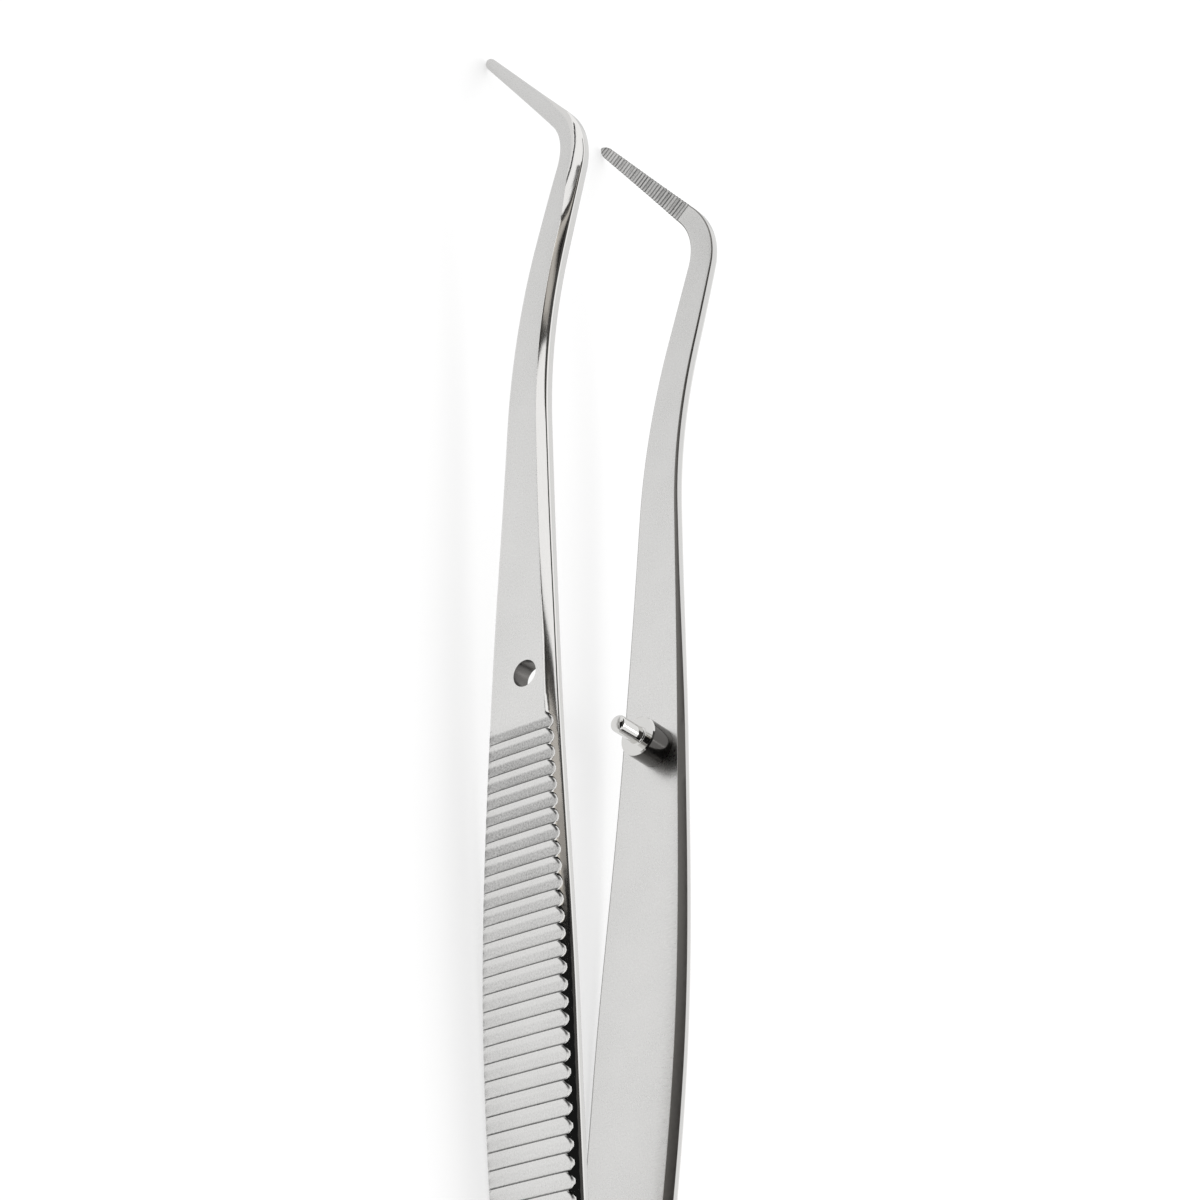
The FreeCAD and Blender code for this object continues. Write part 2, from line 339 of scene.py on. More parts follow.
def corner(start: Point, middle: Point, end: Point, softness: float) -> list[Point]:
    """Three points that round a corner.

    Args:
        start: Point that the outline comes from.
        middle: The corner.
        end: Point that the outline goes to.
        softness: Distance from the corner at which the rounding begins.

    Returns:
        The two ends of the rounding with its middle between them.
    """
    first, last = eased(middle, start, softness), eased(middle, end, softness)
    centre = tuple(0.25 * a + 0.5 * m + 0.25 * b for a, m, b in zip(first, middle, last))
    return [first, centre, last]


class Outline:
    """Outline of the strip as it is drawn, with the finish of the face that leaves each point."""

    def __init__(self, corners: list[Point]) -> None:
        """Begin an outline.

        Args:
            corners: The corners that it goes round, in order.
        """
        self.corners = corners
        self.points: list[RingPoint] = []
        self.faces: list[Finish] = []

    def add(self, point: RingPoint, finish: Finish) -> None:
        """Add a point."""
        self.points.append(point)
        self.faces.append(finish)

    def add_corner(
        self, index: Corner, softness: float, before: Finish, after: Finish, rim: float = 0.0, **moves: float,
    ) -> None:
        """Add the three points that round a corner.

        Args:
            index: The corner.
            softness: Distance from the corner at which the rounding begins.
            before: Finish of the first half of the rounding.
            after: Finish of its second half, and of the face that follows.
            rim: One where the corner is the edge between the flutes and the bevel.
            moves: The points' other values.
        """
        following = self.corners[(index + 1) % len(self.corners)]
        rounding = corner(self.corners[index - 1], self.corners[index], following, softness)
        for (across, out), finish, share in zip(rounding, (before, after, after), RIM_SHADE_SHARES):
            self.add(RingPoint(across, out, rim=rim * share, **moves), finish)

    def add_flat(self, start: Point, end: Point, steps: int, finish: Finish, **moves: float) -> None:
        """Add the points between two corners.

        Args:
            start: The first corner.
            end: The second corner.
            steps: Faces between the two.
            finish: Finish of those faces.
            moves: The points' other values.
        """
        for step in range(1, steps):
            part = step / steps
            across = start[0] + (end[0] - start[0]) * part
            self.add(RingPoint(across, start[1] + (end[1] - start[1]) * part, **moves), finish)


@dataclass(frozen=True)
class Strip:
    """Section of an arm by distance along its centre line, with every width and thickness.

    Attributes:
        line: The centre line.
        flutes: The flutes of the outer face.
        teeth: The teeth of the inner face.
        grip_centre: Place at which the arm is widest.
        hole_place: Place of the guide line.
        shank_setback: Distance from the neck's corner back to the slim end of the shank.
        neck_setback: Distance from the neck's corner back to the place where the neck begins.
        weld_length: Length over which the arms are welded together.
        root_place: Place up to which the gap opens out of the weld.
        butt_corner: Radius of the corners at the butt.
        nose_radius: Radius of the nose that touches the floor.
        nose_length: Length over which the nose is rounded.
        butt_width: Width at the butt.
        outer_crown: How far the outer face bulges.
        bevel_crown: How far the bevel bulges.
        edge_softness: Rounding of an edge.
        side_softness: Rounding of the edge between the side and the bevel.
        rim_softness: What the rim beside the flutes is rounded more than another edge.
        widest_bevel: Largest part of the half width that the bevel or the shoulder takes.
        widest_relief: Largest part of the half width that the relief takes.
        least_size: Least half width and least relief.
        seam_width: What the map of the surface leaves for the last face round the strip.
        face_steps: Faces across the outer face and across the inner face.
        bevel_steps: Faces across the bevel.
        shoulder_steps: Faces round the shoulder.
        end_rings: Rings that round the butt and the nose.
        shank_step: Longest distance between the rings of the shank and the neck.
        rise_step: The same on the rise.
        elbow_step: The same on the elbow.
        tip_step: The same on the tip.
        ring_clearance: Least distance of such a ring from one that a feature needs.
        least_step: Least distance between two rings.
    """

    line: CentreLine = CentreLine()
    flutes: Flutes = Flutes()
    teeth: Teeth = Teeth()
    grip_centre: float = 51.0
    hole_place: float = 82.0
    shank_setback: float = 14.2
    neck_setback: float = 1.2
    weld_length: float = 8.0
    root_place: float = 24.0
    butt_corner: float = 2.4
    nose_radius: float = 0.56
    nose_length: float = 1.2
    butt_width: float = 7.6
    outer_crown: float = 0.06
    bevel_crown: float = 0.02
    edge_softness: float = 0.05
    side_softness: float = 0.14
    rim_softness: float = 0.11
    widest_bevel: float = 0.8
    widest_relief: float = 0.5
    least_size: float = 0.02
    seam_width: float = 0.3
    face_steps: int = 6
    bevel_steps: int = 5
    shoulder_steps: int = 8
    end_rings: int = 12
    shank_step: float = 0.8
    rise_step: float = 0.4
    elbow_step: float = 0.12
    tip_step: float = 0.3
    ring_clearance: float = 0.06
    least_step: float = 0.004

    @property
    def end(self) -> float:
        """Length of the strip along its centre line."""
        return self.line.end_of(Run.TIP)

    @property
    def shank_place(self) -> float:
        """Place of the slim end of the shank."""
        return self.neck_place + self.neck_setback - self.shank_setback

    @property
    def neck_place(self) -> float:
        """Place where the neck begins."""
        return self.line.length - self.line.tip_reach - self.line.neck_reach - self.neck_setback

    def profiles(self) -> dict[str, Profile]:
        """Sizes that change along the strip.

        Returns:
            The curve of each size by its name.
        """
        entry, leave = self.line.end_of(Run.RISE), self.line.end_of(Run.ELBOW)
        grip, hole, shank, end = self.grip_centre, self.hole_place, self.shank_place, self.end
        return {
            "width": Profile((
                (0.0, self.butt_width), (grip, 9.55), (hole, 6.95), (shank, 4.85),
                (self.neck_place, 3.75), (entry, 2.8), (leave, 1.95), (end, 1.0),
            )),
            "thickness": Profile((
                (0.0, 2.0), (grip, 1.95), (shank, 1.65), (end - 3.0, 0.98), (end - 0.4, 0.78), (end, 0.6),
            )),
            "gap": Profile((
                (0.0, -0.3), (self.weld_length, 0.0), (self.root_place, 2.8), (grip, 6.0),
                (hole, 8.0), (shank, 8.6), (entry, 9.2), (end, 8.4),
            )),
            "bevel_width": Profile((
                (0.0, 1.02), (grip, 1.02), (shank, 0.78), (self.neck_place, 0.66), (entry - 6.0, 0.66),
                (entry, 1.15), (leave, 0.5), (leave + 5.5, 0.05), (end, 0.05),
            )),
            "bevel_depth": Profile((
                (0.0, 0.8), (grip, 0.8), (shank, 0.7), (entry, 0.5), (leave + 5.5, 0.05), (end, 0.05),
            )),
            "relief": Profile(((0.0, 0.5), (grip, 0.62), (self.hole_place, 0.5), (shank, 0.26), (end, 0.04))),
            "shoulder": Profile(((0.0, 1.0), (grip, 1.0), (shank, 0.8), (end, 0.12))),
        }

    def half_width(self, place: float, width: float) -> float:
        """Half width of the strip, drawn in at the rounded butt and at the nose.

        Args:
            place: Distance along the centre line.
            width: Full width of the strip there.

        Returns:
            Half the width that is left.
        """
        half = width / 2
        if place < self.butt_corner:
            inset = self.butt_corner - place
            limit = self.butt_width / 2 - self.butt_corner + math.sqrt(self.butt_corner ** 2 - inset ** 2)
            half = min(half, limit)
        nose = (place - self.end) / self.nose_length + 1
        if nose > 0:
            half *= math.sqrt(max(1 - nose ** 2, 0.0))
        return max(half, self.least_size)

    def ring(self, place: float, profiles: dict[str, Profile]) -> Outline:
        """Outline of the strip square to its centre line.

        Args:
            place: Distance along the centre line.
            profiles: The curves of the strip's sizes.

        Returns:
            The outline, from the upper edge of the inner face over the bevel and the outer face.
        """
        half = self.half_width(place, profiles["width"].at(place))
        inner = profiles["gap"].at(place)
        outer = inner + profiles["thickness"].at(place)
        leg = min(profiles["bevel_width"].at(place), self.widest_bevel * half)
        depth = profiles["bevel_depth"].at(place)
        relief = min(profiles["relief"].at(place), self.widest_relief * half)
        radius = min(profiles["shoulder"].at(place), self.widest_bevel * half)
        sunk = max(-inner, 0.0)
        inner, relief = max(inner, 0.0), max(relief - sunk, self.least_size)
        outline = Outline([
            (half - relief, inner), (half, inner + relief), (half, outer - depth), (half - leg, outer),
            (radius - half, outer), (-half, outer - radius), (-half, inner + relief), (relief - half, inner),
        ])
        fluted = float(place < self.flutes.front + self.flutes.pitch)
        toothed = float(place > self.end - self.teeth.pitch * (self.teeth.count + 1))
        soft = self.edge_softness
        outline.add_corner(
            Corner.INNER_TOP, soft, Finish.EDGE, Finish.GROUND,
            tooth_slack=0.0, tooth_slide=relief, worked=toothed)
        outline.add_corner(Corner.SIDE_INNER, soft, Finish.GROUND, Finish.EDGE, tooth_slack=relief)
        outline.add_corner(Corner.SIDE_OUTER, self.side_softness, Finish.POLISHED, Finish.POLISHED)
        self.add_bevel(outline, leg, depth, fluted)
        self.add_crown(outline, fluted)
        self.add_shoulder(outline, radius, fluted)
        outline.add_corner(Corner.LOWER_SIDE, soft, Finish.EDGE, Finish.GROUND, tooth_slack=relief)
        outline.add_corner(
            Corner.INNER_BOTTOM, soft, Finish.GROUND, Finish.SATIN,
            tooth_slack=0.0, tooth_slide=-relief, worked=toothed)
        bottom, top = outline.corners[Corner.INNER_BOTTOM], outline.corners[Corner.INNER_TOP]
        outline.add_flat(bottom, top, self.face_steps, Finish.SATIN, tooth_slack=0.0, worked=toothed)
        return outline

    def add_bevel(self, outline: Outline, leg: float, depth: float, fluted: float) -> None:
        """Add the crowned bevel, and the rim between it and the outer face.

        Args:
            outline: The outline so far.
            leg: Width of the bevel across the strip.
            depth: Width of the bevel square to the outer face.
            fluted: One where the outer face is fluted.
        """
        half, outer = outline.corners[Corner.SIDE_OUTER][0], outline.corners[Corner.RIM][1]
        length = math.hypot(leg, depth)
        rise = 4 * self.bevel_crown * leg / length
        begun = min(self.side_softness / length, 1 / 3)
        moves = {"slack": self.outer_crown, "slide": leg / depth, "fall": 1 / (depth * (1 - begun)),
                 "rise_across": rise * depth, "rise_out": rise * leg}
        for step in range(1, self.bevel_steps):
            share = step / self.bevel_steps
            part = begun + (1 - begun) * share
            across, out = half - leg * part, outer - depth * (1 - part)
            outline.add(RingPoint(across, out, share=share, **moves), Finish.POLISHED)
        softness = self.edge_softness + self.rim_softness * fluted
        outline.add_corner(
            Corner.RIM, softness, Finish.POLISHED, Finish.SATIN,
            rim=fluted, share=1.0, worked=fluted, **moves)

    def add_crown(self, outline: Outline, fluted: float) -> None:
        """Add the bulging outer face.

        Args:
            outline: The outline so far.
            fluted: One where the outer face is fluted.
        """
        start, outer = outline.corners[Corner.RIM]
        end = outline.corners[Corner.SHOULDER_START][0]
        for step in range(1, self.face_steps):
            part = step / self.face_steps
            bulge = 4 * self.outer_crown * part * (1 - part)
            across = start * (1 - part) + end * part
            slack = self.outer_crown - bulge
            outline.add(
                RingPoint(across, outer + bulge, share=1.0, slack=slack, worked=fluted), Finish.SATIN)

    def add_shoulder(self, outline: Outline, radius: float, fluted: float) -> None:
        """Add the round shoulder, on which the painted shade of the flutes fades out.

        Args:
            outline: The outline so far.
            radius: Radius of the shoulder.
            fluted: One where the outer face is fluted.
        """
        outer, half = outline.corners[Corner.SHOULDER_START][1], -outline.corners[Corner.SHOULDER_END][0]
        for step in range(self.shoulder_steps + 1):
            turn = math.pi / 2 * step / self.shoulder_steps
            across = radius * (1 - math.sin(turn)) - half
            out = outer - radius * (1 - math.cos(turn))
            worked = fluted * max(0.0, 1 - 2 * step / self.shoulder_steps)
            moves = {"slack": self.outer_crown, "turn": turn, "radius": radius, "worked": worked}
            outline.add(RingPoint(across, out, **moves), Finish.SATIN)

    def feature_places(self) -> list[float]:
        """Places of the rings that the flutes, the teeth, the butt and the nose need.

        Returns:
            The places in order, each of them once.
        """
        flutes, teeth = self.flutes, self.teeth
        places: list[float] = []
        for index in range(flutes.count + 1):
            crest = flutes.front - flutes.pitch * index
            steps = range(1, flutes.rings) if index < flutes.count else ()
            places += [crest, *(crest - flutes.pitch * step / flutes.rings for step in steps)]
        root = self.end - teeth.pitch * teeth.count
        for index in range(2 * teeth.count):
            middle = root + teeth.pitch * index / 2
            places += [middle - teeth.crisp, middle + teeth.crisp]
        for step in range(self.end_rings + 1):
            lead = 1 - math.cos(math.pi / 2 * step / self.end_rings)
            places += [self.butt_corner * lead, self.end - self.nose_length * lead]
        return sorted(set(places))

    def places(self) -> list[float]:
        """Distances along the centre line of the rings, close together where the form changes fast.

        Returns:
            The distances in order.
        """
        neck, rise, elbow = (self.line.end_of(run) for run in (Run.NECK, Run.RISE, Run.ELBOW))
        plain: list[float] = []
        for start, stop, step in (
            (self.butt_corner, neck, self.shank_step), (neck, rise, self.rise_step),
            (rise, elbow, self.elbow_step), (elbow, self.end, self.tip_step),
        ):
            count = math.ceil((stop - start) / step)
            plain += [start + (stop - start) * index / count for index in range(1, count + 1)]
        kept = self.feature_places()
        marks = kept + [
            mark for mark in plain if min(abs(mark - other) for other in kept) > self.ring_clearance]
        places: list[float] = []
        for mark in sorted(marks):
            if 0 <= mark <= self.end and (not places or mark - places[-1] > self.least_step):
                places.append(mark)
        return places

    def skin_points(self) -> list[Vector]:
        """Points of the strip in its own frame, for its rest.

        Returns:
            The points in millimetres.
        """
        profiles = self.profiles()
        points = []
        for place in self.places():
            spot = self.line.at(place)
            points += [laid(spot, point) for point in self.ring(place, profiles).points]
        return points


def laid(spot: tuple[float, float, float], point: RingPoint, side: int = 1) -> Vector:
    """Place of a point of the outline.

    Args:
        spot: x, z and heading of the centre line where the outline is.
        point: The point.
        side: Side of the middle plane.

    Returns:
        The place in the strip's own frame, in millimetres.
    """
    x, z, heading = spot
    across = point.across
    return Vector((x - across * math.sin(heading), side * point.out, z + across * math.cos(heading)))


@dataclass(frozen=True)
class Rest:
    """How the strip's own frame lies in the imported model: tilted about y, then moved."""

    matrix: Matrix

    @classmethod
    def of(cls, strip: Strip) -> "Rest":
        """Lay a strip on its butt and tip.

        Args:
            strip: The strip whose butt corner and nose touch the floor.

        Returns:
            The rest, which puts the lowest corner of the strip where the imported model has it.
        """
        nose_x, nose_z, _ = strip.line.at(strip.end - strip.nose_radius)
        fall = nose_z - strip.nose_radius + strip.butt_width / 2
        tilt = Matrix.Rotation(math.atan2(fall, nose_x - strip.butt_corner), 4, "Y")
        turned = [tilt @ point for point in strip.skin_points()]
        low = Vector((min(point.x for point in turned), 0.0, min(point.z for point in turned)))
        corner_low = CAD_BOX[0] / MILLIMETRE
        shift = Vector((corner_low.x - low.x, 0.0, corner_low.z - low.z))
        return cls(Matrix.Translation(shift) @ tilt)

    def point(self, point: Vector) -> Vector:
        """A point of the strip's own frame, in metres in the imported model's frame."""
        return (self.matrix @ point) * MILLIMETRE

    def direction(self, direction: Vector) -> Vector:
        """A direction of the strip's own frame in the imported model's frame."""
        return self.matrix.to_3x3() @ direction


class Bench:
    """Adds nodes to one tree and links them."""

    def __init__(self, tree: bpy.types.NodeTree) -> None:
        """Take the tree that the nodes go into."""
        self.tree = tree

    def add(self, kind: str, **settings: object) -> bpy.types.Node:
        """Add a node.

        Args:
            kind: Blender's name for the node's type.
            settings: Properties of the node to set.

        Returns:
            The node.
        """
        node = self.tree.nodes.new(kind)
        for name, value in settings.items():
            setattr(node, name, value)
        return node

    def feed(self, socket: Socket, value: object) -> None:
        """Link a socket into another, or set the other's own value.

        Args:
            socket: The input.
            value: An output, or the value itself.
        """
        if isinstance(value, bpy.types.NodeSocket):
            self.tree.links.new(value, socket)
        else:
            socket.default_value = value

    def math(self, operation: str, *values: object) -> Socket:
        """Add a math node.

        Args:
            operation: Blender's name for the operation.
            values: Numbers or sockets.

        Returns:
            The result.
        """
        node = self.add("ShaderNodeMath", operation=operation)
        for socket, value in zip(node.inputs, values):
            self.feed(socket, value)
        return node.outputs[0]

    def scaled(self, vector: object, factor: object) -> Socket:
        """Multiply a vector.

        Args:
            vector: Three numbers or a socket.
            factor: A number or a socket.

        Returns:
            The vector times the factor.
        """
        node = self.add("ShaderNodeVectorMath", operation="SCALE")
        self.feed(node.inputs[0], vector)
        self.feed(node.inputs["Scale"], factor)
        return node.outputs[0]

    def sum(self, first: Socket, second: Socket) -> Socket:
        """Add two vectors.

        Args:
            first: One vector.
            second: The other vector.

        Returns:
            Their sum.
        """
        node = self.add("ShaderNodeVectorMath", operation="ADD")
        self.feed(node.inputs[0], first)
        self.feed(node.inputs[1], second)
        return node.outputs[0]

    def stored(self, name: str, kind: str = "FLOAT") -> Socket:
        """Read an attribute of the mesh.

        Args:
            name: Name of the attribute.
            kind: Blender's name for its type, which only geometry nodes ask for.

        Returns:
            Its value.
        """
        if self.tree.bl_idname == "ShaderNodeTree":
            return self.add("ShaderNodeAttribute", attribute_name=name).outputs["Fac"]
        node = self.add("GeometryNodeInputNamedAttribute", data_type=kind)
        node.inputs["Name"].default_value = name
        return node.outputs["Attribute"]


class SinkTree:
    """Geometry nodes that sink the flutes and the teeth into a smooth strip.

    Attributes:
        ROW_MARGIN: Part of a pitch at which a row begins, so that its first ring stays where it is.
        LEAST_RADIUS: Stands for the radius of the shoulder on the points off it.
        NUMBERS: Names of the inputs that are numbers.
    """

    ROW_MARGIN = 0.0005
    LEAST_RADIUS = 0.01
    NUMBERS = (
        "Flute front", "Flute pitch", "Flute count", "Flute depth", "Crest drop",
        "Tooth start", "Tooth pitch", "Tooth count", "Tooth depth", "Tooth land",
    )

    def __init__(self, finishes: dict[Finish, bpy.types.Material]) -> None:
        """Build the tree.

        Args:
            finishes: The material of each finish.
        """
        self.tree = bpy.data.node_groups.new("Sink flutes and teeth", "GeometryNodeTree")
        self.bench = Bench(self.tree)
        face = self.tree.interface
        face.new_socket("Strip", in_out="INPUT", socket_type="NodeSocketGeometry")
        for name in self.NUMBERS:
            face.new_socket(name, in_out="INPUT", socket_type="NodeSocketFloat")
        face.new_socket("Outwards", in_out="INPUT", socket_type="NodeSocketVector")
        for finish in finishes:
            face.new_socket(finish.steel_input, in_out="INPUT", socket_type="NodeSocketMaterial")
        face.new_socket("Arm", in_out="OUTPUT", socket_type="NodeSocketGeometry")
        self.inputs = self.bench.add("NodeGroupInput").outputs
        self.build(finishes)

    def cycle(self, place: Socket, pitch: Socket, count: Socket) -> tuple[Socket, Socket]:
        """Where a point stands in a row of repeats.

        Args:
            place: Distance from the start of the row.
            pitch: Distance from one repeat to the next.
            count: How many repeats there are.

        Returns:
            One inside the row and zero outside it, and the distance from the middle of the repeat.
        """
        bench = self.bench
        turns = bench.math("DIVIDE", place, pitch)
        begun = bench.math("GREATER_THAN", turns, self.ROW_MARGIN)
        unfinished = bench.math("LESS_THAN", turns, count)
        from_middle = bench.math("SUBTRACT", bench.math("FRACT", turns), 0.5)
        return bench.math("MULTIPLY", begun, unfinished), bench.math("MULTIPLY", from_middle, pitch)

    def flute_depth(self) -> Socket:
        """Depth of a round flute at each point.

        Returns:
            The depth under the top of the crown.
        """
        bench, inputs = self.bench, self.inputs
        place = bench.math("SUBTRACT", inputs["Flute front"], bench.stored("along"))
        inside, offset = self.cycle(place, inputs["Flute pitch"], inputs["Flute count"])
        rise = bench.math("SUBTRACT", inputs["Flute depth"], inputs["Crest drop"])
        half = bench.math("MULTIPLY", inputs["Flute pitch"], 0.5)
        squares = bench.math("ADD", bench.math("MULTIPLY", half, half), bench.math("MULTIPLY", rise, rise))
        radius = bench.math("DIVIDE", squares, bench.math("MULTIPLY", rise, 2.0))
        left = bench.math(
            "SUBTRACT", bench.math("MULTIPLY", radius, radius), bench.math("MULTIPLY", offset, offset))
        sagitta = bench.math("SUBTRACT", radius, bench.math("SQRT", left))
        return bench.math("MULTIPLY", bench.math("SUBTRACT", inputs["Flute depth"], sagitta), inside)

    def tooth_depth(self) -> Socket:
        """Depth of a sharp tooth at each point.

        Returns:
            The depth under the inner face.
        """
        bench, inputs = self.bench, self.inputs
        place = bench.math("SUBTRACT", bench.stored("along"), inputs["Tooth start"])
        inside, offset = self.cycle(place, inputs["Tooth pitch"], inputs["Tooth count"])
        half = bench.math("MULTIPLY", inputs["Tooth pitch"], 0.5)
        nearness = bench.math("SUBTRACT", 1.0, bench.math("DIVIDE", bench.math("ABSOLUTE", offset), half))
        rise = bench.math("SUBTRACT", inputs["Tooth depth"], inputs["Tooth land"])
        depth = bench.math("ADD", inputs["Tooth land"], bench.math("MULTIPLY", rise, nearness))
        return bench.math("MULTIPLY", depth, inside)

    def flute_shift(self) -> tuple[Socket, Socket]:
        """How the flutes move the points of the outer face, the bevel and the shoulder.

        Returns:
            The movement outwards and the movement across the strip, in millimetres.
        """
        bench = self.bench
        sunk = bench.math("MAXIMUM", bench.math("SUBTRACT", self.flute_depth(), bench.stored("slack")), 0.0)
        shared = bench.math("MULTIPLY", sunk, bench.stored("share"))
        kept = bench.math("SUBTRACT", 1.0, bench.math("MULTIPLY", sunk, bench.stored("fall")))
        part = bench.math("MULTIPLY", bench.stored("share"), kept)
        bow = bench.math("MULTIPLY", part, bench.math("SUBTRACT", 1.0, part))
        lowered = bench.math("SUBTRACT", bench.math("MULTIPLY", bow, bench.stored("rise_out")), shared)
        raised = bench.math("MULTIPLY", bow, bench.stored("rise_across"))
        slid = bench.math("ADD", raised, bench.math("MULTIPLY", shared, bench.stored("slide")))
        turn, radius = bench.stored("turn"), bench.stored("radius")
        safe = bench.math("MAXIMUM", radius, self.LEAST_RADIUS)
        least = bench.math("ARCCOSINE", bench.math("SUBTRACT", 1.0, bench.math("DIVIDE", sunk, safe)))
        quarter = math.pi / 2
        rest = bench.math("SUBTRACT", quarter, least)
        turned = bench.math("ADD", least, bench.math("MULTIPLY", rest, bench.math("DIVIDE", turn, quarter)))
        sines = bench.math("SUBTRACT", bench.math("SINE", turn), bench.math("SINE", turned))
        cosines = bench.math("SUBTRACT", bench.math("COSINE", turned), bench.math("COSINE", turn))
        outwards = bench.math("ADD", lowered, bench.math("MULTIPLY", radius, cosines))
        return outwards, bench.math("ADD", slid, bench.math("MULTIPLY", radius, sines))

    def tooth_shift(self) -> tuple[Socket, Socket]:
        """How the teeth move the points of the inner face and the reliefs beside it.

        Returns:
            The movement outwards and the movement across the strip, in millimetres.
        """
        bench = self.bench
        depth = bench.math("SUBTRACT", self.tooth_depth(), bench.stored("tooth_slack"))
        raised = bench.math("MAXIMUM", depth, 0.0)
        limit = bench.stored("tooth_slide")
        reach = bench.math("MINIMUM", raised, bench.math("ABSOLUTE", limit))
        return raised, bench.math("MULTIPLY", reach, bench.math("SIGN", limit))

    def build(self, finishes: dict[Finish, bpy.types.Material]) -> None:
        """Add the nodes: the shift of the points, then the finishes.

        Args:
            finishes: The material of each finish.
        """
        bench = self.bench
        (flute_out, flute_across), (tooth_out, tooth_across) = self.flute_shift(), self.tooth_shift()
        out = bench.math("MULTIPLY", bench.math("ADD", flute_out, tooth_out), MILLIMETRE)
        sideways = bench.math("MULTIPLY", bench.math("ADD", flute_across, tooth_across), MILLIMETRE)
        across_way = bench.stored("across_way", "FLOAT_VECTOR")
        moved = bench.add("GeometryNodeSetPosition")
        bench.feed(moved.inputs["Geometry"], self.inputs["Strip"])
        shift = bench.sum(bench.scaled(self.inputs["Outwards"], out), bench.scaled(across_way, sideways))
        bench.feed(moved.inputs["Offset"], shift)
        real = bench.add("GeometryNodeRealizeInstances")
        bench.feed(real.inputs["Geometry"], moved.outputs["Geometry"])
        shape = real.outputs["Geometry"]
        for finish in finishes:
            chosen = bench.add("FunctionNodeCompare", data_type="INT", operation="EQUAL")
            bench.feed(chosen.inputs[2], bench.stored("finish", "INT"))
            bench.feed(chosen.inputs[3], int(finish))
            dressed = bench.add("GeometryNodeSetMaterial")
            bench.feed(dressed.inputs["Geometry"], shape)
            bench.feed(dressed.inputs["Selection"], chosen.outputs["Result"])
            bench.feed(dressed.inputs["Material"], self.inputs[finish.steel_input])
            shape = dressed.outputs["Geometry"]
        bench.feed(bench.add("NodeGroupOutput").inputs["Arm"], shape)

    def apply(self, blank: bpy.types.Object, values: dict[str, object]) -> bpy.types.Mesh:
        """Run the tree on an object.

        Args:
            blank: The smooth strip.
            values: The value of each named input.

        Returns:
            The finished shape as a plain mesh.
        """
        modifier = blank.modifiers.new("Sink", "NODES")
        modifier.node_group = self.tree
        for item in self.tree.interface.items_tree:
            if item.in_out == "INPUT" and item.name in values:
                modifier[item.identifier] = values[item.name]
        shape = plain_mesh(blank)
        blank.modifiers.remove(modifier)
        return shape


def plain_mesh(obj: bpy.types.Object) -> bpy.types.Mesh:
    """Take an object's mesh as its modifiers leave it.

    Args:
        obj: The object.

    Returns:
        A new mesh.
    """
    graph = bpy.context.evaluated_depsgraph_get()
    graph.update()
    return bpy.data.meshes.new_from_object(obj.evaluated_get(graph), depsgraph=graph)


def new_object(name: str, mesh: bpy.types.Mesh) -> bpy.types.Object:
    """Put a mesh in the scene.

    Args:
        name: Name of its object.
        mesh: The mesh.

    Returns:
        The object.
    """
    obj = bpy.data.objects.new(name, mesh)
    bpy.context.scene.collection.objects.link(obj)
    return obj


def discard(*objects: bpy.types.Object) -> None:
    """Take working objects out of the file."""
    for obj in objects:
        bpy.data.objects.remove(obj)


@dataclass(frozen=True)
class GuideLine:
    """Line across the gap that the guide pin and the guide hole share.

    Attributes:
        strip: The arm's section, which gives the place of the line.
        rise: Height of the line across the strip.
        hole_radius: Radius of the guide hole.
        pin_radius: Radius of the guide pin.
        pin_length: Length of the pin beyond its collar.
        pin_round: What the nose takes from the pin's radius.
        pin_nose: Length of the rounded nose.
        collar_radius: Radius of the stop collar.
        collar_length: Length of the collar.
        collar_chamfer: Chamfer of the collar's free end.
        collar_edge: Broken edge of the collar on the arm.
        root_fillet: Radius of the fillet between the collar and the pin.
        rivet_radius: Radius of the rivet that goes through the arm.
        segments: Faces round the pin and the holes.
        fillet_steps: Faces along the fillet.
        nose_steps: Faces along the nose.
        cutter_reach: Length of a hole's cutter on each side of the inner face.
        slope_reach: Distance on each side of the line over which the gap's slope is taken.
    """

    strip: Strip
    rise: float = 0.6
    hole_radius: float = 1.2
    pin_radius: float = 0.78
    pin_length: float = 3.1
    pin_round: float = 0.76
    pin_nose: float = 0.5
    collar_radius: float = 1.85
    collar_length: float = 2.6
    collar_chamfer: float = 0.12
    collar_edge: float = 0.04
    root_fillet: float = 0.18
    rivet_radius: float = 1.1
    segments: int = 96
    fillet_steps: int = 6
    nose_steps: int = 12
    cutter_reach: float = 3.0
    slope_reach: float = 0.5

    def frame(self, side: Side) -> tuple[Vector, Vector]:
        """Foot of the line on an arm's inner face, and its direction into the gap.

        Args:
            side: The arm.

        Returns:
            The foot in millimetres and a direction of length one, in the strip's own frame.
        """
        gap = self.strip.profiles()["gap"]
        place, reach = self.strip.hole_place, self.slope_reach
        slope = (gap.at(place + reach) - gap.at(place - reach)) / (2 * reach)
        foot = Vector((place, side * gap.at(place), self.rise))
        return foot, Vector((slope, -side, 0.0)).normalized()

    def rod(self, side: Side, rest: Rest, radius: float) -> bpy.types.Object:
        """Make a round cutter along the line.

        Args:
            side: The arm that it goes through.
            rest: How the arm lies.
            radius: Radius of the cutter.

        Returns:
            The working object.
        """
        foot, inward = self.frame(side)
        reach = self.cutter_reach
        outline = [(0.0, -reach), (radius, -reach), (radius, reach), (0.0, reach)]
        mesh = turned_mesh("bore_cutter", outline, self.segments, foot, inward, rest)
        return new_object("bore_cutter", mesh)


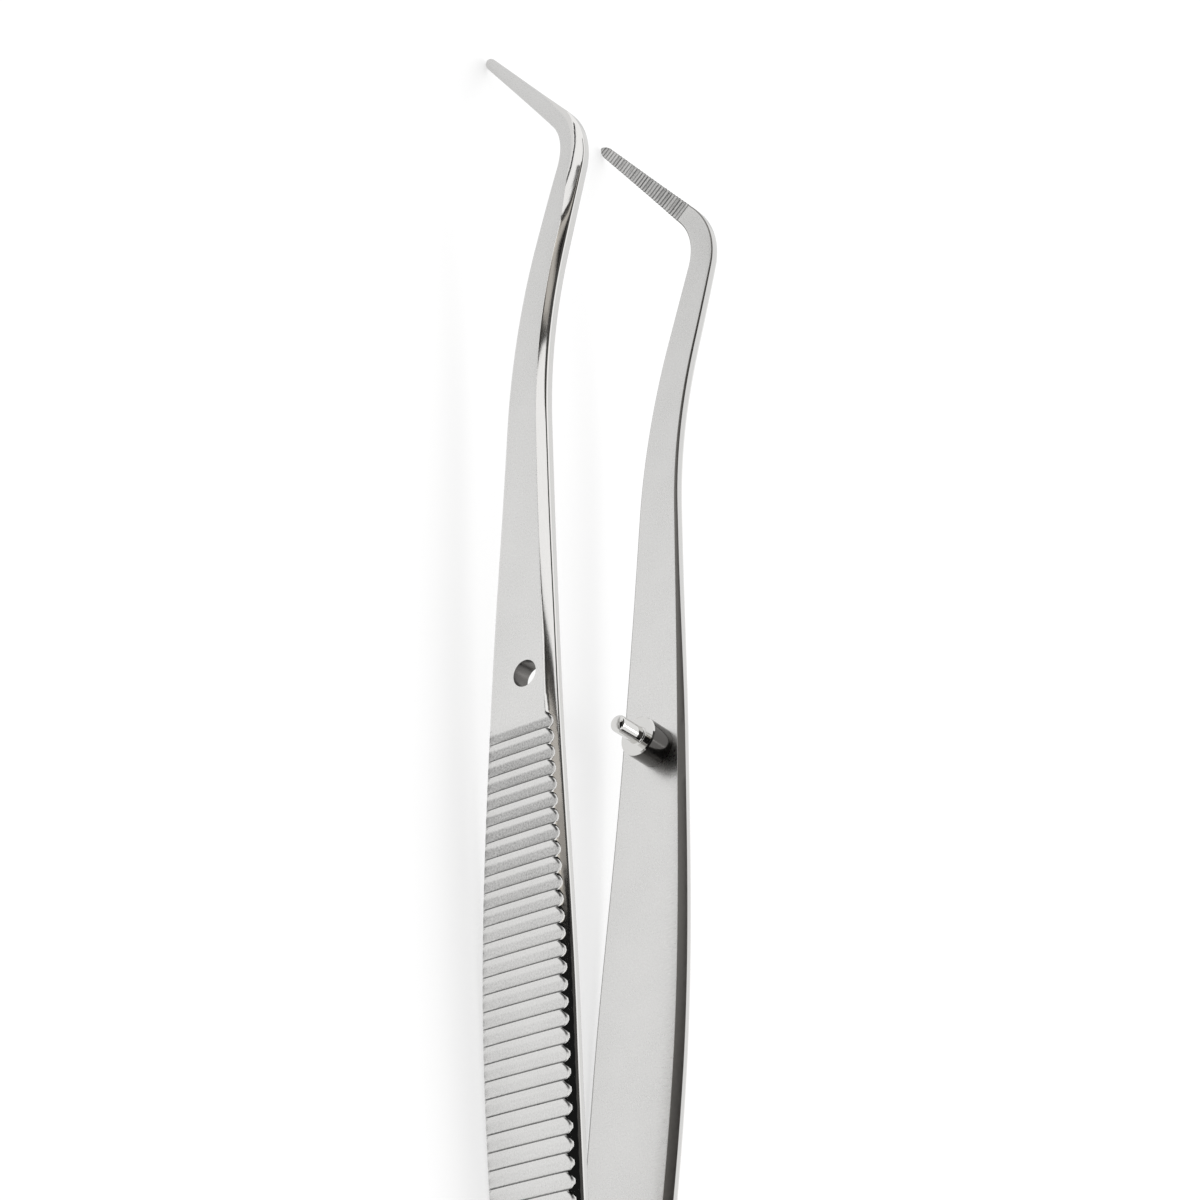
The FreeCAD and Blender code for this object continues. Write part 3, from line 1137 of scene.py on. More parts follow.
def turned_mesh(
    name: str, outline: list[Point], segments: int, foot: Vector, axis: Vector, rest: Rest,
) -> bpy.types.Mesh:
    """Closed mesh of a turned part.

    Args:
        name: Name of the mesh.
        outline: (radius, distance along the axis) from one end on the axis to the other.
        segments: Faces round the part.
        foot: Point of the axis from which distances are measured, in millimetres.
        axis: Direction of the axis, of length one.
        rest: How the part's own frame lies.

    Returns:
        The mesh, with its faces pointing outwards and a UV map of angle and outline length.
    """
    side = axis.orthogonal().normalized()
    other = axis.cross(side)
    points: list[Vector] = []
    rings: list[list[int]] = []
    for radius, distance in outline:
        count = segments if radius > 0 else 1
        ring = []
        for index in range(count):
            angle = 2 * math.pi * index / segments
            spoke = side * math.cos(angle) + other * math.sin(angle)
            ring.append(len(points))
            points.append(rest.point(foot + axis * distance + spoke * radius))
        rings.append(ring)
    lengths = [0.0]
    for start, end in zip(outline, outline[1:]):
        lengths.append(lengths[-1] + math.dist(start, end))
    faces: list[list[int]] = []
    corners: list[Point] = []
    for row, (lower, upper) in enumerate(zip(rings, rings[1:])):
        for index in range(segments):
            after = (index + 1) % segments
            face = [
                (lower[index % len(lower)], index, row), (lower[after % len(lower)], index + 1, row),
                (upper[after % len(upper)], index + 1, row + 1),
                (upper[index % len(upper)], index, row + 1),
            ]
            if len(lower) == 1:
                face.pop(1)
            if len(upper) == 1:
                face.pop(2)
            faces.append([vertex for vertex, _, _ in face])
            corners += [(step / segments, lengths[level] * MILLIMETRE) for _, step, level in face]
    mesh = bpy.data.meshes.new(name)
    mesh.from_pydata(points, [], faces)
    layer = mesh.uv_layers.new(name="Surface")
    for loop, place in zip(layer.uv, corners):
        loop.vector = place
    mesh.validate()
    return mesh


@dataclass
class Skin:
    """Points of a blank arm, ring after ring, with what is stored on them.

    Attributes:
        places: Distance of each ring along the centre line.
        values: The stored values of every point, by name.
        finishes: Finish of the face that leaves each point of a ring.
        points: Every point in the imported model's frame, in metres.
        ways: Direction across the strip at every point, as three numbers each.
        girths: Distance of every point round its ring.
    """

    places: list[float]
    values: dict[str, list[float]]
    finishes: list[Finish] = field(default_factory=list)
    points: list[Vector] = field(default_factory=list)
    ways: list[float] = field(default_factory=list)
    girths: list[float] = field(default_factory=list)


class Arm:
    """One sprung arm: a blank strip, its flutes and teeth, and the bore for the guide line.

    Attributes:
        FACE_WEIGHT: How strongly large faces lead the shading of the edges beside them.
    """

    FACE_WEIGHT = 60

    def __init__(self, strip: Strip, side: Side, name: str) -> None:
        """Take the arm's sizes.

        Args:
            strip: The section along the arm.
            side: Side of the middle plane.
            name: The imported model's node that the arm stands for.
        """
        self.strip = strip
        self.side = side
        self.name = name

    def skin(self, rest: Rest) -> Skin:
        """Work out the points of the blank.

        Args:
            rest: How the strip lies.

        Returns:
            The points and what is stored on them.
        """
        strip = self.strip
        profiles = strip.profiles()
        skin = Skin(strip.places(), {name: [] for name in ("along", *RING_VALUES)})
        for place in skin.places:
            outline = strip.ring(place, profiles)
            skin.finishes = outline.faces
            spot = strip.line.at(place)
            heading = spot[2]
            way = rest.direction(Vector((-math.sin(heading), 0.0, math.cos(heading))))
            girth = 0.0
            for index, point in enumerate(outline.points):
                skin.points.append(rest.point(laid(spot, point, self.side)))
                skin.ways.extend(way)
                skin.values["along"].append(place)
                for name in RING_VALUES:
                    skin.values[name].append(getattr(point, name))
                before = outline.points[index - 1]
                girth += math.dist((point.across, point.out), (before.across, before.out)) if index else 0.0
                skin.girths.append(girth)
        return skin

    def panel(self, skin: Skin, row: int, index: int) -> tuple[list[int], list[Point]]:
        """Work out one face between two rings.

        Args:
            skin: The points of the blank.
            row: Number of the ring that is nearer to the butt.
            index: Number of the point that the face leaves.

        Returns:
            The face's points and their places on the map of the surface.
        """
        size = len(skin.finishes)
        after = (index + 1) % size
        low, high = row * size, (row + 1) * size
        face = [low + index, low + after, high + after, high + index]
        girths = [skin.girths[point] for point in face]
        if after == 0:
            girths[1:3] = 2 * [skin.girths[low + size - 1] + self.strip.seam_width]
        uv = [(skin.places[row + (step > 1)] * MILLIMETRE, girth * MILLIMETRE)
              for step, girth in enumerate(girths)]
        if self.side == Side.HOLE:
            face.reverse()
            uv.reverse()
        return face, uv

    def blank(self, rest: Rest) -> bpy.types.Object:
        """Make the smooth strip, with the attributes that the flutes and teeth are sunk by.

        Args:
            rest: How the strip lies.

        Returns:
            The working object.
        """
        skin = self.skin(rest)
        size, rings = len(skin.finishes), len(skin.places)
        faces: list[list[int]] = []
        marks: list[int] = []
        corners: list[Point] = []
        for row in range(rings - 1):
            for index in range(size):
                face, uv = self.panel(skin, row, index)
                faces.append(face)
                corners += uv
                marks.append(int(skin.finishes[index]))
        last = (rings - 1) * size
        for cap in (list(range(size)), list(range(last + size - 1, last - 1, -1))):
            if self.side == Side.PIN:
                cap.reverse()
            faces.append(cap)
            marks.append(int(Finish.SATIN))
            place = skin.places[0 if cap[0] < last else -1]
            corners += [(place * MILLIMETRE, skin.girths[vertex] * MILLIMETRE) for vertex in cap]
        mesh = bpy.data.meshes.new(self.name + "_blank")
        mesh.from_pydata(skin.points, [], faces)
        for name, values in skin.values.items():
            mesh.attributes.new(name, "FLOAT", "POINT").data.foreach_set("value", values)
        mesh.attributes.new("across_way", "FLOAT_VECTOR", "POINT").data.foreach_set("vector", skin.ways)
        mesh.attributes.new("finish", "INT", "FACE").data.foreach_set("value", marks)
        layer = mesh.uv_layers.new(name="Surface")
        layer.uv.foreach_set("vector", [number for place in corners for number in place])
        return new_object(self.name + "_blank", mesh)

    def bore(self, sunk: bpy.types.Object, cutter: bpy.types.Object,
             bore_shade_steel: bpy.types.Material) -> bpy.types.Object:
        """Bore an arm along the guide line, with a crisp rim.

        Args:
            sunk: The arm with its flutes and teeth.
            cutter: Rod along the guide line.
            bore_shade_steel: Dark colour of the bore's wall, painted shade inside the hole.

        Returns:
            The working object.
        """
        sunk.data.materials.append(bore_shade_steel)
        for steel in sunk.data.materials:
            cutter.data.materials.append(steel)
        wall_index = len(sunk.data.materials) - 1
        for face in cutter.data.polygons:
            face.material_index = wall_index
        cut = sunk.modifiers.new("Bore", "BOOLEAN")
        cut.operation = "DIFFERENCE"
        cut.object = cutter
        cut.solver = "MANIFOLD"
        bored = new_object(self.name + "_bored", plain_mesh(sunk))
        bored.data.shade_smooth()
        wall: set[tuple[int, int]] = set()
        skin: set[tuple[int, int]] = set()
        for face in bored.data.polygons:
            (wall if face.material_index == wall_index else skin).update(face.edge_keys)
        for edge in bored.data.edges:
            edge.use_edge_sharp = edge.key in wall and edge.key in skin
        return bored

    def build(self, rest: Rest, tree: SinkTree, steels: dict[Finish, bpy.types.Material],
              cutter: bpy.types.Object, bore_shade_steel: bpy.types.Material) -> bpy.types.Object:
        """Make the arm in place.

        Args:
            rest: How the strip lies.
            tree: Nodes that sink the flutes and the teeth.
            steels: The material of each finish.
            cutter: Rod that bores the arm along the guide line.
            bore_shade_steel: Dark colour of the bore's wall, painted shade inside the hole.

        Returns:
            The finished piece, riding on the object's body.
        """
        blank = self.blank(rest)
        for steel in steels.values():
            blank.data.materials.append(steel)
        flutes, teeth = self.strip.flutes, self.strip.teeth
        values: dict[str, object] = {
            "Flute front": flutes.front, "Flute pitch": flutes.pitch, "Flute count": float(flutes.count),
            "Flute depth": flutes.depth, "Crest drop": flutes.crest_drop,
            "Tooth start": self.strip.end - teeth.pitch * teeth.count, "Tooth pitch": teeth.pitch,
            "Tooth count": float(teeth.count), "Tooth depth": teeth.depth, "Tooth land": teeth.land,
            "Outwards": (0.0, float(self.side), 0.0),
        }
        for finish, steel in steels.items():
            values[finish.steel_input] = steel
        sunk = new_object(self.name + "_sunk", tree.apply(blank, values))
        bored = self.bore(sunk, cutter, bore_shade_steel)
        shading = bored.modifiers.new("Shading", "WEIGHTED_NORMAL")
        shading.weight = self.FACE_WEIGHT
        shading.keep_sharp = True
        piece = new_object(self.name + "_dressed", plain_mesh(bored))
        discard(blank, sunk, bored)
        for name in ("along", "across_way", "finish", *RING_VALUES):
            if name in piece.data.attributes and name not in KEPT_VALUES:
                piece.data.attributes.remove(piece.data.attributes[name])
        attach(piece, BODY)
        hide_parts(self.name)
        return piece


class GuidePin:
    """Turned pin with a stop collar, riveted through its arm.

    Attributes:
        SHARP_ANGLE: Angle between two faces above which their edge looks sharp.
    """

    SHARP_ANGLE = math.radians(35)

    def __init__(self, guide: GuideLine) -> None:
        """Take the sizes of the pin."""
        self.guide = guide

    def outline(self) -> list[Point]:
        """Half section of the pin.

        Returns:
            Radius and distance from the arm's inner face into the gap, from the rivet to the nose.
        """
        guide = self.guide
        thickness = guide.strip.profiles()["thickness"].at(guide.strip.hole_place)
        outline = [
            (0.0, -thickness), (guide.rivet_radius, -thickness), (guide.rivet_radius, 0.0),
            (guide.collar_radius - guide.collar_edge, 0.0), (guide.collar_radius, guide.collar_edge),
            (guide.collar_radius, guide.collar_length - guide.collar_chamfer),
            (guide.collar_radius - guide.collar_chamfer, guide.collar_length),
        ]
        for step in range(guide.fillet_steps + 1):
            turn = math.pi / 2 * step / guide.fillet_steps
            outline.append((guide.pin_radius + guide.root_fillet * (1 - math.sin(turn)),
                            guide.collar_length + guide.root_fillet * (1 - math.cos(turn))))
        end = guide.collar_length + guide.pin_length
        for step in range(guide.nose_steps + 1):
            turn = math.pi / 2 * step / guide.nose_steps
            outline.append((guide.pin_radius - guide.pin_round * (1 - math.cos(turn)),
                            end - guide.pin_nose * (1 - math.sin(turn))))
        outline.append((0.0, end))
        return outline

    def build(self, rest: Rest, steel: bpy.types.Material,
              collar_reflection_steel: bpy.types.Material) -> bpy.types.Object:
        """Make the pin in place.

        Args:
            rest: How the arm that holds the pin lies.
            steel: The pin's finish.
            collar_reflection_steel: Dark colour of the side of the collar, a painted reflection of dark
                surroundings.

        Returns:
            The finished piece, riding on the object's body.
        """
        foot, inward = self.guide.frame(Side.PIN)
        mesh = turned_mesh("guide_pin_turned", self.outline(), self.guide.segments, foot, inward, rest)
        mesh.shade_smooth()
        mesh.set_sharp_from_angle(angle=self.SHARP_ANGLE)
        mesh.materials.append(steel)
        mesh.materials.append(collar_reflection_steel)
        start, axis = rest.point(foot), rest.direction(inward)
        # The side of the collar takes the painted dark reflection
        side_radius = (self.guide.collar_radius - self.guide.collar_edge) * MILLIMETRE
        for face in mesh.polygons:
            arm = face.center - start
            if (arm - axis * arm.dot(axis)).length > side_radius:
                face.material_index = 1
        piece = new_object("guide_pin_turned", mesh)
        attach(piece, BODY)
        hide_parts("guide_pin")
        return piece


# Painted shade of the flutes and the teeth, as what it takes from the tone: across a flute from its front
# crest to its rear crest, over the row of flutes from the front one to the rear one, and across a tooth from
# its crest to the next
FLANK_SHADE = ((0.0, 0.0), (0.22, 0.0), (0.34, 0.35), (1.0, 0.40))
CREST_SHADE = ((0.0, 0.0), (0.84, 0.0), (0.90, 0.78), (1.0, 0.78))
SCALLOP_SHADE = ((0.0, 0.3), (0.06, 0.97), (0.36, 0.97), (0.52, 0.0), (1.0, 0.0))
ROW_SHADE_FADE = ((0.0, 1.0), (0.2, 1.0), (0.35, 0.45), (0.6, 0.15), (1.0, 0.1))
TOOTH_SHADE = ((0.0, 0.97), (0.42, 0.97), (0.54, 0.1), (0.84, 0.1), (1.0, 0.97))


@dataclass(frozen=True)
class Steel:
    """Stainless steel with a fine grain, from satin to mirror.

    Attributes:
        name: Name of the material.
        colour: Colour of the metal in linear light.
        roughness: Mean roughness.
        roughness_spread: How far the grain changes the roughness each way.
        grain_size: Size of the grain in millimetres.
        grain_depth: Depth of the grain's relief in millimetres.
        shade_spread: How far the grain darkens and lightens the metal.
        lengthwise: How much longer the grain is along the strip than round it.
        strip: The strip whose flutes and teeth set where shade is painted on the steel, if any do.
        patch_size: Size of the soft patches under the grain in millimetres.
        patch_share: Strength of the patches beside that of the grain.
        coarseness: How much stronger the grain is where the shade is painted.
        least_bite: Weakest painted shade of a tooth beside the strongest one.
    """

    name: str
    colour: tuple[float, float, float]
    roughness: float
    roughness_spread: float
    grain_size: float
    grain_depth: float
    shade_spread: float
    lengthwise: float = 1.0
    strip: Strip | None = None
    patch_size: float = 4.0
    patch_share: float = 0.3
    coarseness: float = 1.5
    least_bite: float = 0.5

    def ramp(self, bench: Bench, phase: Socket, stops: tuple[Point, ...]) -> Socket:
        """Spread tones over a range from zero to one.

        Args:
            bench: Nodes of the material.
            phase: Part of the way.
            stops: Part of the way and tone of each stop.

        Returns:
            The tone.
        """
        node = bench.add("ShaderNodeValToRGB")
        bench.feed(node.inputs["Fac"], phase)
        elements = node.color_ramp.elements
        while len(elements) < len(stops):
            elements.new(0.5)
        for element, (place, tone) in zip(elements, stops):
            element.position = place
            element.color = (tone, tone, tone, 1.0)
        return node.outputs["Color"]

    def marks(self, bench: Bench, surface: Socket) -> Socket | float:
        """Painted shade of the flutes' rear flanks, crests and rims, and of the teeth.

        Args:
            bench: Nodes of the material.
            surface: The strip's own map: place along it and round it, in metres.

        Returns:
            One on plain steel, and less where shade is painted.
        """
        if self.strip is None:
            return 1.0
        flutes, teeth = self.strip.flutes, self.strip.teeth
        apart = bench.add("ShaderNodeSeparateXYZ")
        bench.feed(apart.inputs[0], surface)
        place = bench.math("DIVIDE", apart.outputs["X"], MILLIMETRE)
        turns = bench.math("DIVIDE", bench.math("SUBTRACT", flutes.front, place), flutes.pitch)
        in_flutes = bench.math(
            "MULTIPLY", bench.math("GREATER_THAN", turns, 0.0), bench.math("LESS_THAN", turns, flutes.count))
        phase = bench.math("FRACT", turns)
        # Painted shade on each flute's rear flank, fading from the front of the row to the rear
        fading = self.ramp(bench, bench.math("DIVIDE", turns, flutes.count), ROW_SHADE_FADE)
        loss = bench.math("MULTIPLY", self.ramp(bench, phase, FLANK_SHADE), fading)
        # A painted dark line at each flute's rear crest
        loss = bench.math("MAXIMUM", loss, self.ramp(bench, phase, CREST_SHADE))
        # Painted shade between the teeth, of a random strength from tooth to tooth
        root = self.strip.end - teeth.pitch * teeth.count
        bites = bench.math("DIVIDE", bench.math("SUBTRACT", place, root), teeth.pitch)
        chance = bench.add("ShaderNodeTexWhiteNoise", noise_dimensions="1D")
        bench.feed(chance.inputs["W"], bench.math("FLOOR", bites))
        luck = bench.math("MULTIPLY", chance.outputs["Value"], 1 - self.least_bite)
        uneven = bench.math("ADD", self.least_bite, luck)
        tooth_shade_loss = bench.math("MULTIPLY", self.ramp(bench, bench.math("FRACT", bites), TOOTH_SHADE), uneven)
        tooth_shade_loss = bench.math("MULTIPLY", tooth_shade_loss, bench.math("GREATER_THAN", bites, 0.0))
        loss = bench.math("ADD", bench.math("MULTIPLY", loss, in_flutes), tooth_shade_loss)
        loss = bench.math("MULTIPLY", loss, bench.stored("worked"))
        # Painted dark slivers of shade where the flutes meet the bevel
        rim = bench.math("MULTIPLY", self.ramp(bench, phase, SCALLOP_SHADE), bench.stored("rim"))
        loss = bench.math("MAXIMUM", loss, bench.math("MULTIPLY", rim, in_flutes))
        return bench.math("SUBTRACT", 1.0, loss)

    def material(self) -> bpy.types.Material:
        """Build the material.

        Returns:
            The material.
        """
        material = bpy.data.materials.new(self.name)
        material.use_nodes = True
        bench = Bench(material.node_tree)
        shader = material.node_tree.nodes["Principled BSDF"]
        shader.inputs["Metallic"].default_value = 1.0
        surface = bench.add("ShaderNodeUVMap", uv_map="Surface").outputs["UV"]
        stretch = bench.add("ShaderNodeMapping")
        bench.feed(stretch.inputs["Vector"], surface)
        stretch.inputs["Scale"].default_value = (1.0 / self.lengthwise, 1.0, 1.0)
        grain = bench.add("ShaderNodeTexNoise")
        bench.feed(grain.inputs["Vector"], stretch.outputs["Vector"])
        grain.inputs["Scale"].default_value = 1.0 / (self.grain_size * MILLIMETRE)
        grain.inputs["Detail"].default_value = 2.0
        patch = bench.add("ShaderNodeTexNoise")
        bench.feed(patch.inputs["Vector"], surface)
        patch.inputs["Scale"].default_value = 1.0 / (self.patch_size * MILLIMETRE)
        swing = bench.math("SUBTRACT", bench.math("MULTIPLY", grain.outputs[0], 2.0), 1.0)
        drift = bench.math("SUBTRACT", bench.math("MULTIPLY", patch.outputs[0], 2.0), 1.0)
        both = bench.math("ADD", swing, bench.math("MULTIPLY", drift, self.patch_share))
        rough = bench.math("ADD", self.roughness, bench.math("MULTIPLY", both, self.roughness_spread))
        bench.feed(shader.inputs["Roughness"], rough)
        # Painted shade of the flutes and the teeth darkens the metal, and the grain is stronger where it
        # falls
        tone = self.marks(bench, surface)
        coarse = bench.math("MULTIPLY", bench.math("SUBTRACT", 1.0, tone), self.coarseness)
        spread = bench.math("ADD", coarse, self.shade_spread)
        shade = bench.math("MULTIPLY", tone, bench.math("ADD", 1.0, bench.math("MULTIPLY", both, spread)))
        bench.feed(shader.inputs["Base Color"], bench.scaled(self.colour, shade))
        bump = bench.add("ShaderNodeBump")
        bump.inputs["Strength"].default_value = 1.0
        bump.inputs["Distance"].default_value = self.grain_depth * MILLIMETRE
        bench.feed(bump.inputs["Height"], grain.outputs[0])
        bench.feed(shader.inputs["Normal"], bump.outputs["Normal"])
        return material


STRIP_STEELS = {
    Finish.SATIN: Steel(
        "satin steel", (0.77, 0.765, 0.755), roughness=0.29, roughness_spread=0.06, grain_size=0.13,
        grain_depth=0.006, shade_spread=0.14, lengthwise=1.3, strip=Strip()),
    Finish.EDGE: Steel(
        "smoothed steel", (0.66, 0.655, 0.645), roughness=0.16, roughness_spread=0.05, grain_size=0.10,
        grain_depth=0.001, shade_spread=0.05, lengthwise=6.0),
    # Dark colour of the relief chamfers: a painted reflection of dark surroundings
    Finish.GROUND: Steel(
        "ground chamfer steel", (0.20, 0.192, 0.182), roughness=0.34, roughness_spread=0.08, grain_size=0.30,
        grain_depth=0.003, shade_spread=0.10, lengthwise=2.0),
    Finish.POLISHED: Steel(
        "polished bevel steel", (0.82, 0.81, 0.795), roughness=0.07, roughness_spread=0.02, grain_size=0.10,
        grain_depth=0.0004, shade_spread=0.04, lengthwise=12.0, strip=Strip()),
}
PIN_STEEL = Steel(
    "turned steel", (0.72, 0.715, 0.70), roughness=0.07, roughness_spread=0.02, grain_size=0.08,
    grain_depth=0.0004, shade_spread=0.03, lengthwise=0.2)
# Dark colour of the collar's side: a painted reflection of dark surroundings
COLLAR_REFLECTION_STEEL = Steel(
    "dark turned steel", (0.10, 0.097, 0.093), roughness=0.12, roughness_spread=0.03, grain_size=0.08,
    grain_depth=0.0004, shade_spread=0.1, lengthwise=0.2)
# Dark colour of the bore's wall: painted shade inside the hole
BORE_SHADE_STEEL = Steel(
    "bored steel", (0.14, 0.135, 0.13), roughness=0.3, roughness_spread=0.08, grain_size=0.10,
    grain_depth=0.002, shade_spread=0.3, lengthwise=0.2)


@dataclass(frozen=True)
class Card:
    """Card beside the object that only its reflections see.

    Attributes:
        name: Name of the card.
        colour: Colour of the card in linear light.
        outline: Corners as the distance along the strip's own frame in millimetres, and the angle in
            degrees above the horizon, as seen from the object's middle plane towards the guide hole.
        reach: Distance of the card from the object's long axis in millimetres.
    """

    name: str
    colour: tuple[float, float, float]
    outline: tuple[Point, ...]
    reach: float = 600.0

    def build(self, rest: Rest) -> None:
        """Put the card up.

        Args:
            rest: How the strip lies.
        """
        points = [
            rest.point(Vector((x, self.reach * math.cos(math.radians(angle)),
                               self.reach * math.sin(math.radians(angle)))))
            for x, angle in self.outline
        ]
        mesh = bpy.data.meshes.new(self.name)
        mesh.from_pydata(points, [], [tuple(range(len(points)))])
        material = bpy.data.materials.new(self.name)
        material.use_nodes = True
        bench = Bench(material.node_tree)
        glow = bench.add("ShaderNodeEmission")
        glow.inputs["Color"].default_value = (*self.colour, 1.0)
        bench.feed(material.node_tree.nodes["Material Output"].inputs["Surface"], glow.outputs[0])
        mesh.materials.append(material)
        card = new_object(self.name, mesh)
        card.visible_camera = False
        card.visible_diffuse = False
        card.visible_shadow = False


BLACK = (0.010, 0.010, 0.010)
# Cards that give the polished faces their bands: along the shank, for the neck and for the elbow, then low
# and high ones
CARDS = (
    Card("black_card", BLACK, (
        (-1100, 2), (-100, 2), (-60, 11), (262, 11), (272, 28), (272, 41), (285, 46), (-1100, 46))),
    Card("brown_card", (0.34, 0.322, 0.30), (
        (272, 28), (358, 28), (358, 51), (300, 50), (285, 46), (272, 41))),
    Card("cream_card", (0.70, 0.66, 0.59), (
        (272, 28), (324, 28), (320, 33), (300, 36.5), (272, 38)), reach=590.0),
    Card("neck_card", BLACK, (
        (250, 52), (258, 47), (265, 44), (275, 41.2), (285, 39.3), (290, 40.5), (296, 46), (300, 50),
        (300, 52)), reach=595.0),
    Card("neck_cream_card", (0.52, 0.495, 0.46), (
        (238, 35.5), (276, 35.5), (274, 42), (268, 47), (250, 47), (240, 40.5)), reach=400.0),
    Card("dark_grey_card", (0.085, 0.081, 0.076), ((357, 28), (369, 28), (369, 53), (357, 53))),
    Card("dark_edge_card", (0.03, 0.028, 0.026), (
        (369, 28), (385, 30), (416, 33.5), (421, 36), (412, 39), (405, 41), (398, 43), (391, 46), (383, 50),
        (369, 53))),
    Card("elbow_card", (0.045, 0.043, 0.04), (
        (206, 36.5), (209, 38.5), (216, 35.3), (219, 34), (223, 31), (227, 28.5), (231, 25.5), (233, 22),
        (237, 19.5), (241, 17.5), (242, 14), (238, 13), (225, 22), (214, 29.5), (208, 33.5)), reach=240.0),
    Card("low_card", (0.02, 0.02, 0.02), (
        (100, 1), (1100, 1), (1100, 4.5), (262, 4.5), (262, 11), (100, 11))),
    Card("overhead_card", (0.07, 0.068, 0.065), (
        (-500, 46), (285, 46), (300, 50), (358, 51), (384, 51), (390, 56), (470, 57), (520, 60), (560, 62),
        (900, 62), (900, 86), (-500, 86)), reach=610.0),
)


@dataclass(frozen=True)
class Studio:
    """White surroundings, a pale floor, one soft lamp and the cards.

    Attributes:
        floor_albedo: Share of the light that the floor gives back to the object.
        floor_size: Distance from the middle of the floor to its sides in metres.
        shadow_lift: How far the shadow fades into the white floor in the picture.
        sheet_share: How far the steel mirrors the floor as an even sheet.
        sheet_run: Distances along the object between which the sheet changes, in metres.
        sheet_glow: Brightness of the sheet at those distances.
        lamp_place: Place of the lamp in metres.
        lamp_size: Length of its sides in metres.
        lamp_power: Its power in watts.
    """

    floor_albedo: float = 0.88
    floor_size: float = 2.0
    shadow_lift: float = 0.55
    sheet_share: float = 0.8
    sheet_run: Point = (0.0, 0.08)
    sheet_glow: Point = (0.97, 0.74)
    lamp_place: Vector = Vector((-0.5, -0.6, 1.4))
    lamp_size: float = 0.9
    lamp_power: float = 5.0

    def build_world(self) -> None:
        """White surroundings."""
        world = bpy.data.worlds.new("studio")
        bpy.context.scene.world = world
        world.use_nodes = True
        world.node_tree.nodes["Background"].inputs["Color"].default_value = (1.0, 1.0, 1.0, 1.0)

    def build_floor(self) -> None:
        """Pale floor that keeps the shadow, and that the steel mirrors as an even sheet."""
        size = self.floor_size
        mesh = bpy.data.meshes.new("floor")
        mesh.from_pydata([(-size, -size, 0), (size, -size, 0), (size, size, 0), (-size, size, 0)],
                         [], [(0, 1, 2, 3)])
        floor = new_object("floor", mesh)
        material = bpy.data.materials.new("pale floor")
        material.use_nodes = True
        nodes = material.node_tree.nodes
        bench = Bench(material.node_tree)
        path = bench.add("ShaderNodeLightPath").outputs
        lift = bench.math("MULTIPLY", path["Is Camera Ray"], 1 - self.floor_albedo)
        shader = nodes["Principled BSDF"]
        albedo = bench.math("ADD", self.floor_albedo, lift)
        bench.feed(shader.inputs["Base Color"], bench.scaled((1.0, 1.0, 1.0), albedo))
        shader.inputs["Roughness"].default_value = 1.0
        shader.inputs["Specular IOR Level"].default_value = 0.0
        place = bench.add("ShaderNodeSeparateXYZ")
        bench.feed(place.inputs[0], bench.add("ShaderNodeTexCoord").outputs["Object"])
        sheet = bench.add("ShaderNodeMapRange", interpolation_type="SMOOTHSTEP")
        ends = ("From Min", "From Max", "To Min", "To Max")
        for name, value in zip(ends, self.sheet_run + self.sheet_glow):
            sheet.inputs[name].default_value = value
        bench.feed(sheet.inputs["Value"], place.outputs["X"])
        glow = bench.add("ShaderNodeEmission")
        bench.feed(glow.inputs["Strength"], sheet.outputs["Result"])
        blend = bench.add("ShaderNodeMixShader")
        bench.feed(blend.inputs[0], bench.math("MULTIPLY", path["Is Glossy Ray"], self.sheet_share))
        bench.feed(blend.inputs[1], shader.outputs[0])
        bench.feed(blend.inputs[2], glow.outputs[0])
        sheer = bench.add("ShaderNodeMixShader")
        bench.feed(sheer.inputs[0], bench.math("MULTIPLY", path["Is Camera Ray"], self.shadow_lift))
        bench.feed(sheer.inputs[1], blend.outputs[0])
        bench.feed(sheer.inputs[2], bench.add("ShaderNodeEmission").outputs[0])
        bench.feed(nodes["Material Output"].inputs["Surface"], sheer.outputs[0])
        mesh.materials.append(material)

    def build_cards(self, rest: Rest) -> None:
        """Put the cards up round the strip as it lies."""
        for card in CARDS:
            card.build(rest)

    def build_lamp(self) -> None:
        """Soft square lamp that points at the object."""
        light = bpy.data.lights.new("soft_lamp", "AREA")
        light.size = self.lamp_size
        light.energy = self.lamp_power
        lamp = bpy.data.objects.new("soft_lamp", light)
        lamp.location = self.lamp_place
        lamp.rotation_mode = "QUATERNION"
        lamp.rotation_quaternion = (-self.lamp_place).to_track_quat("-Z", "Y")
        bpy.context.scene.collection.objects.link(lamp)


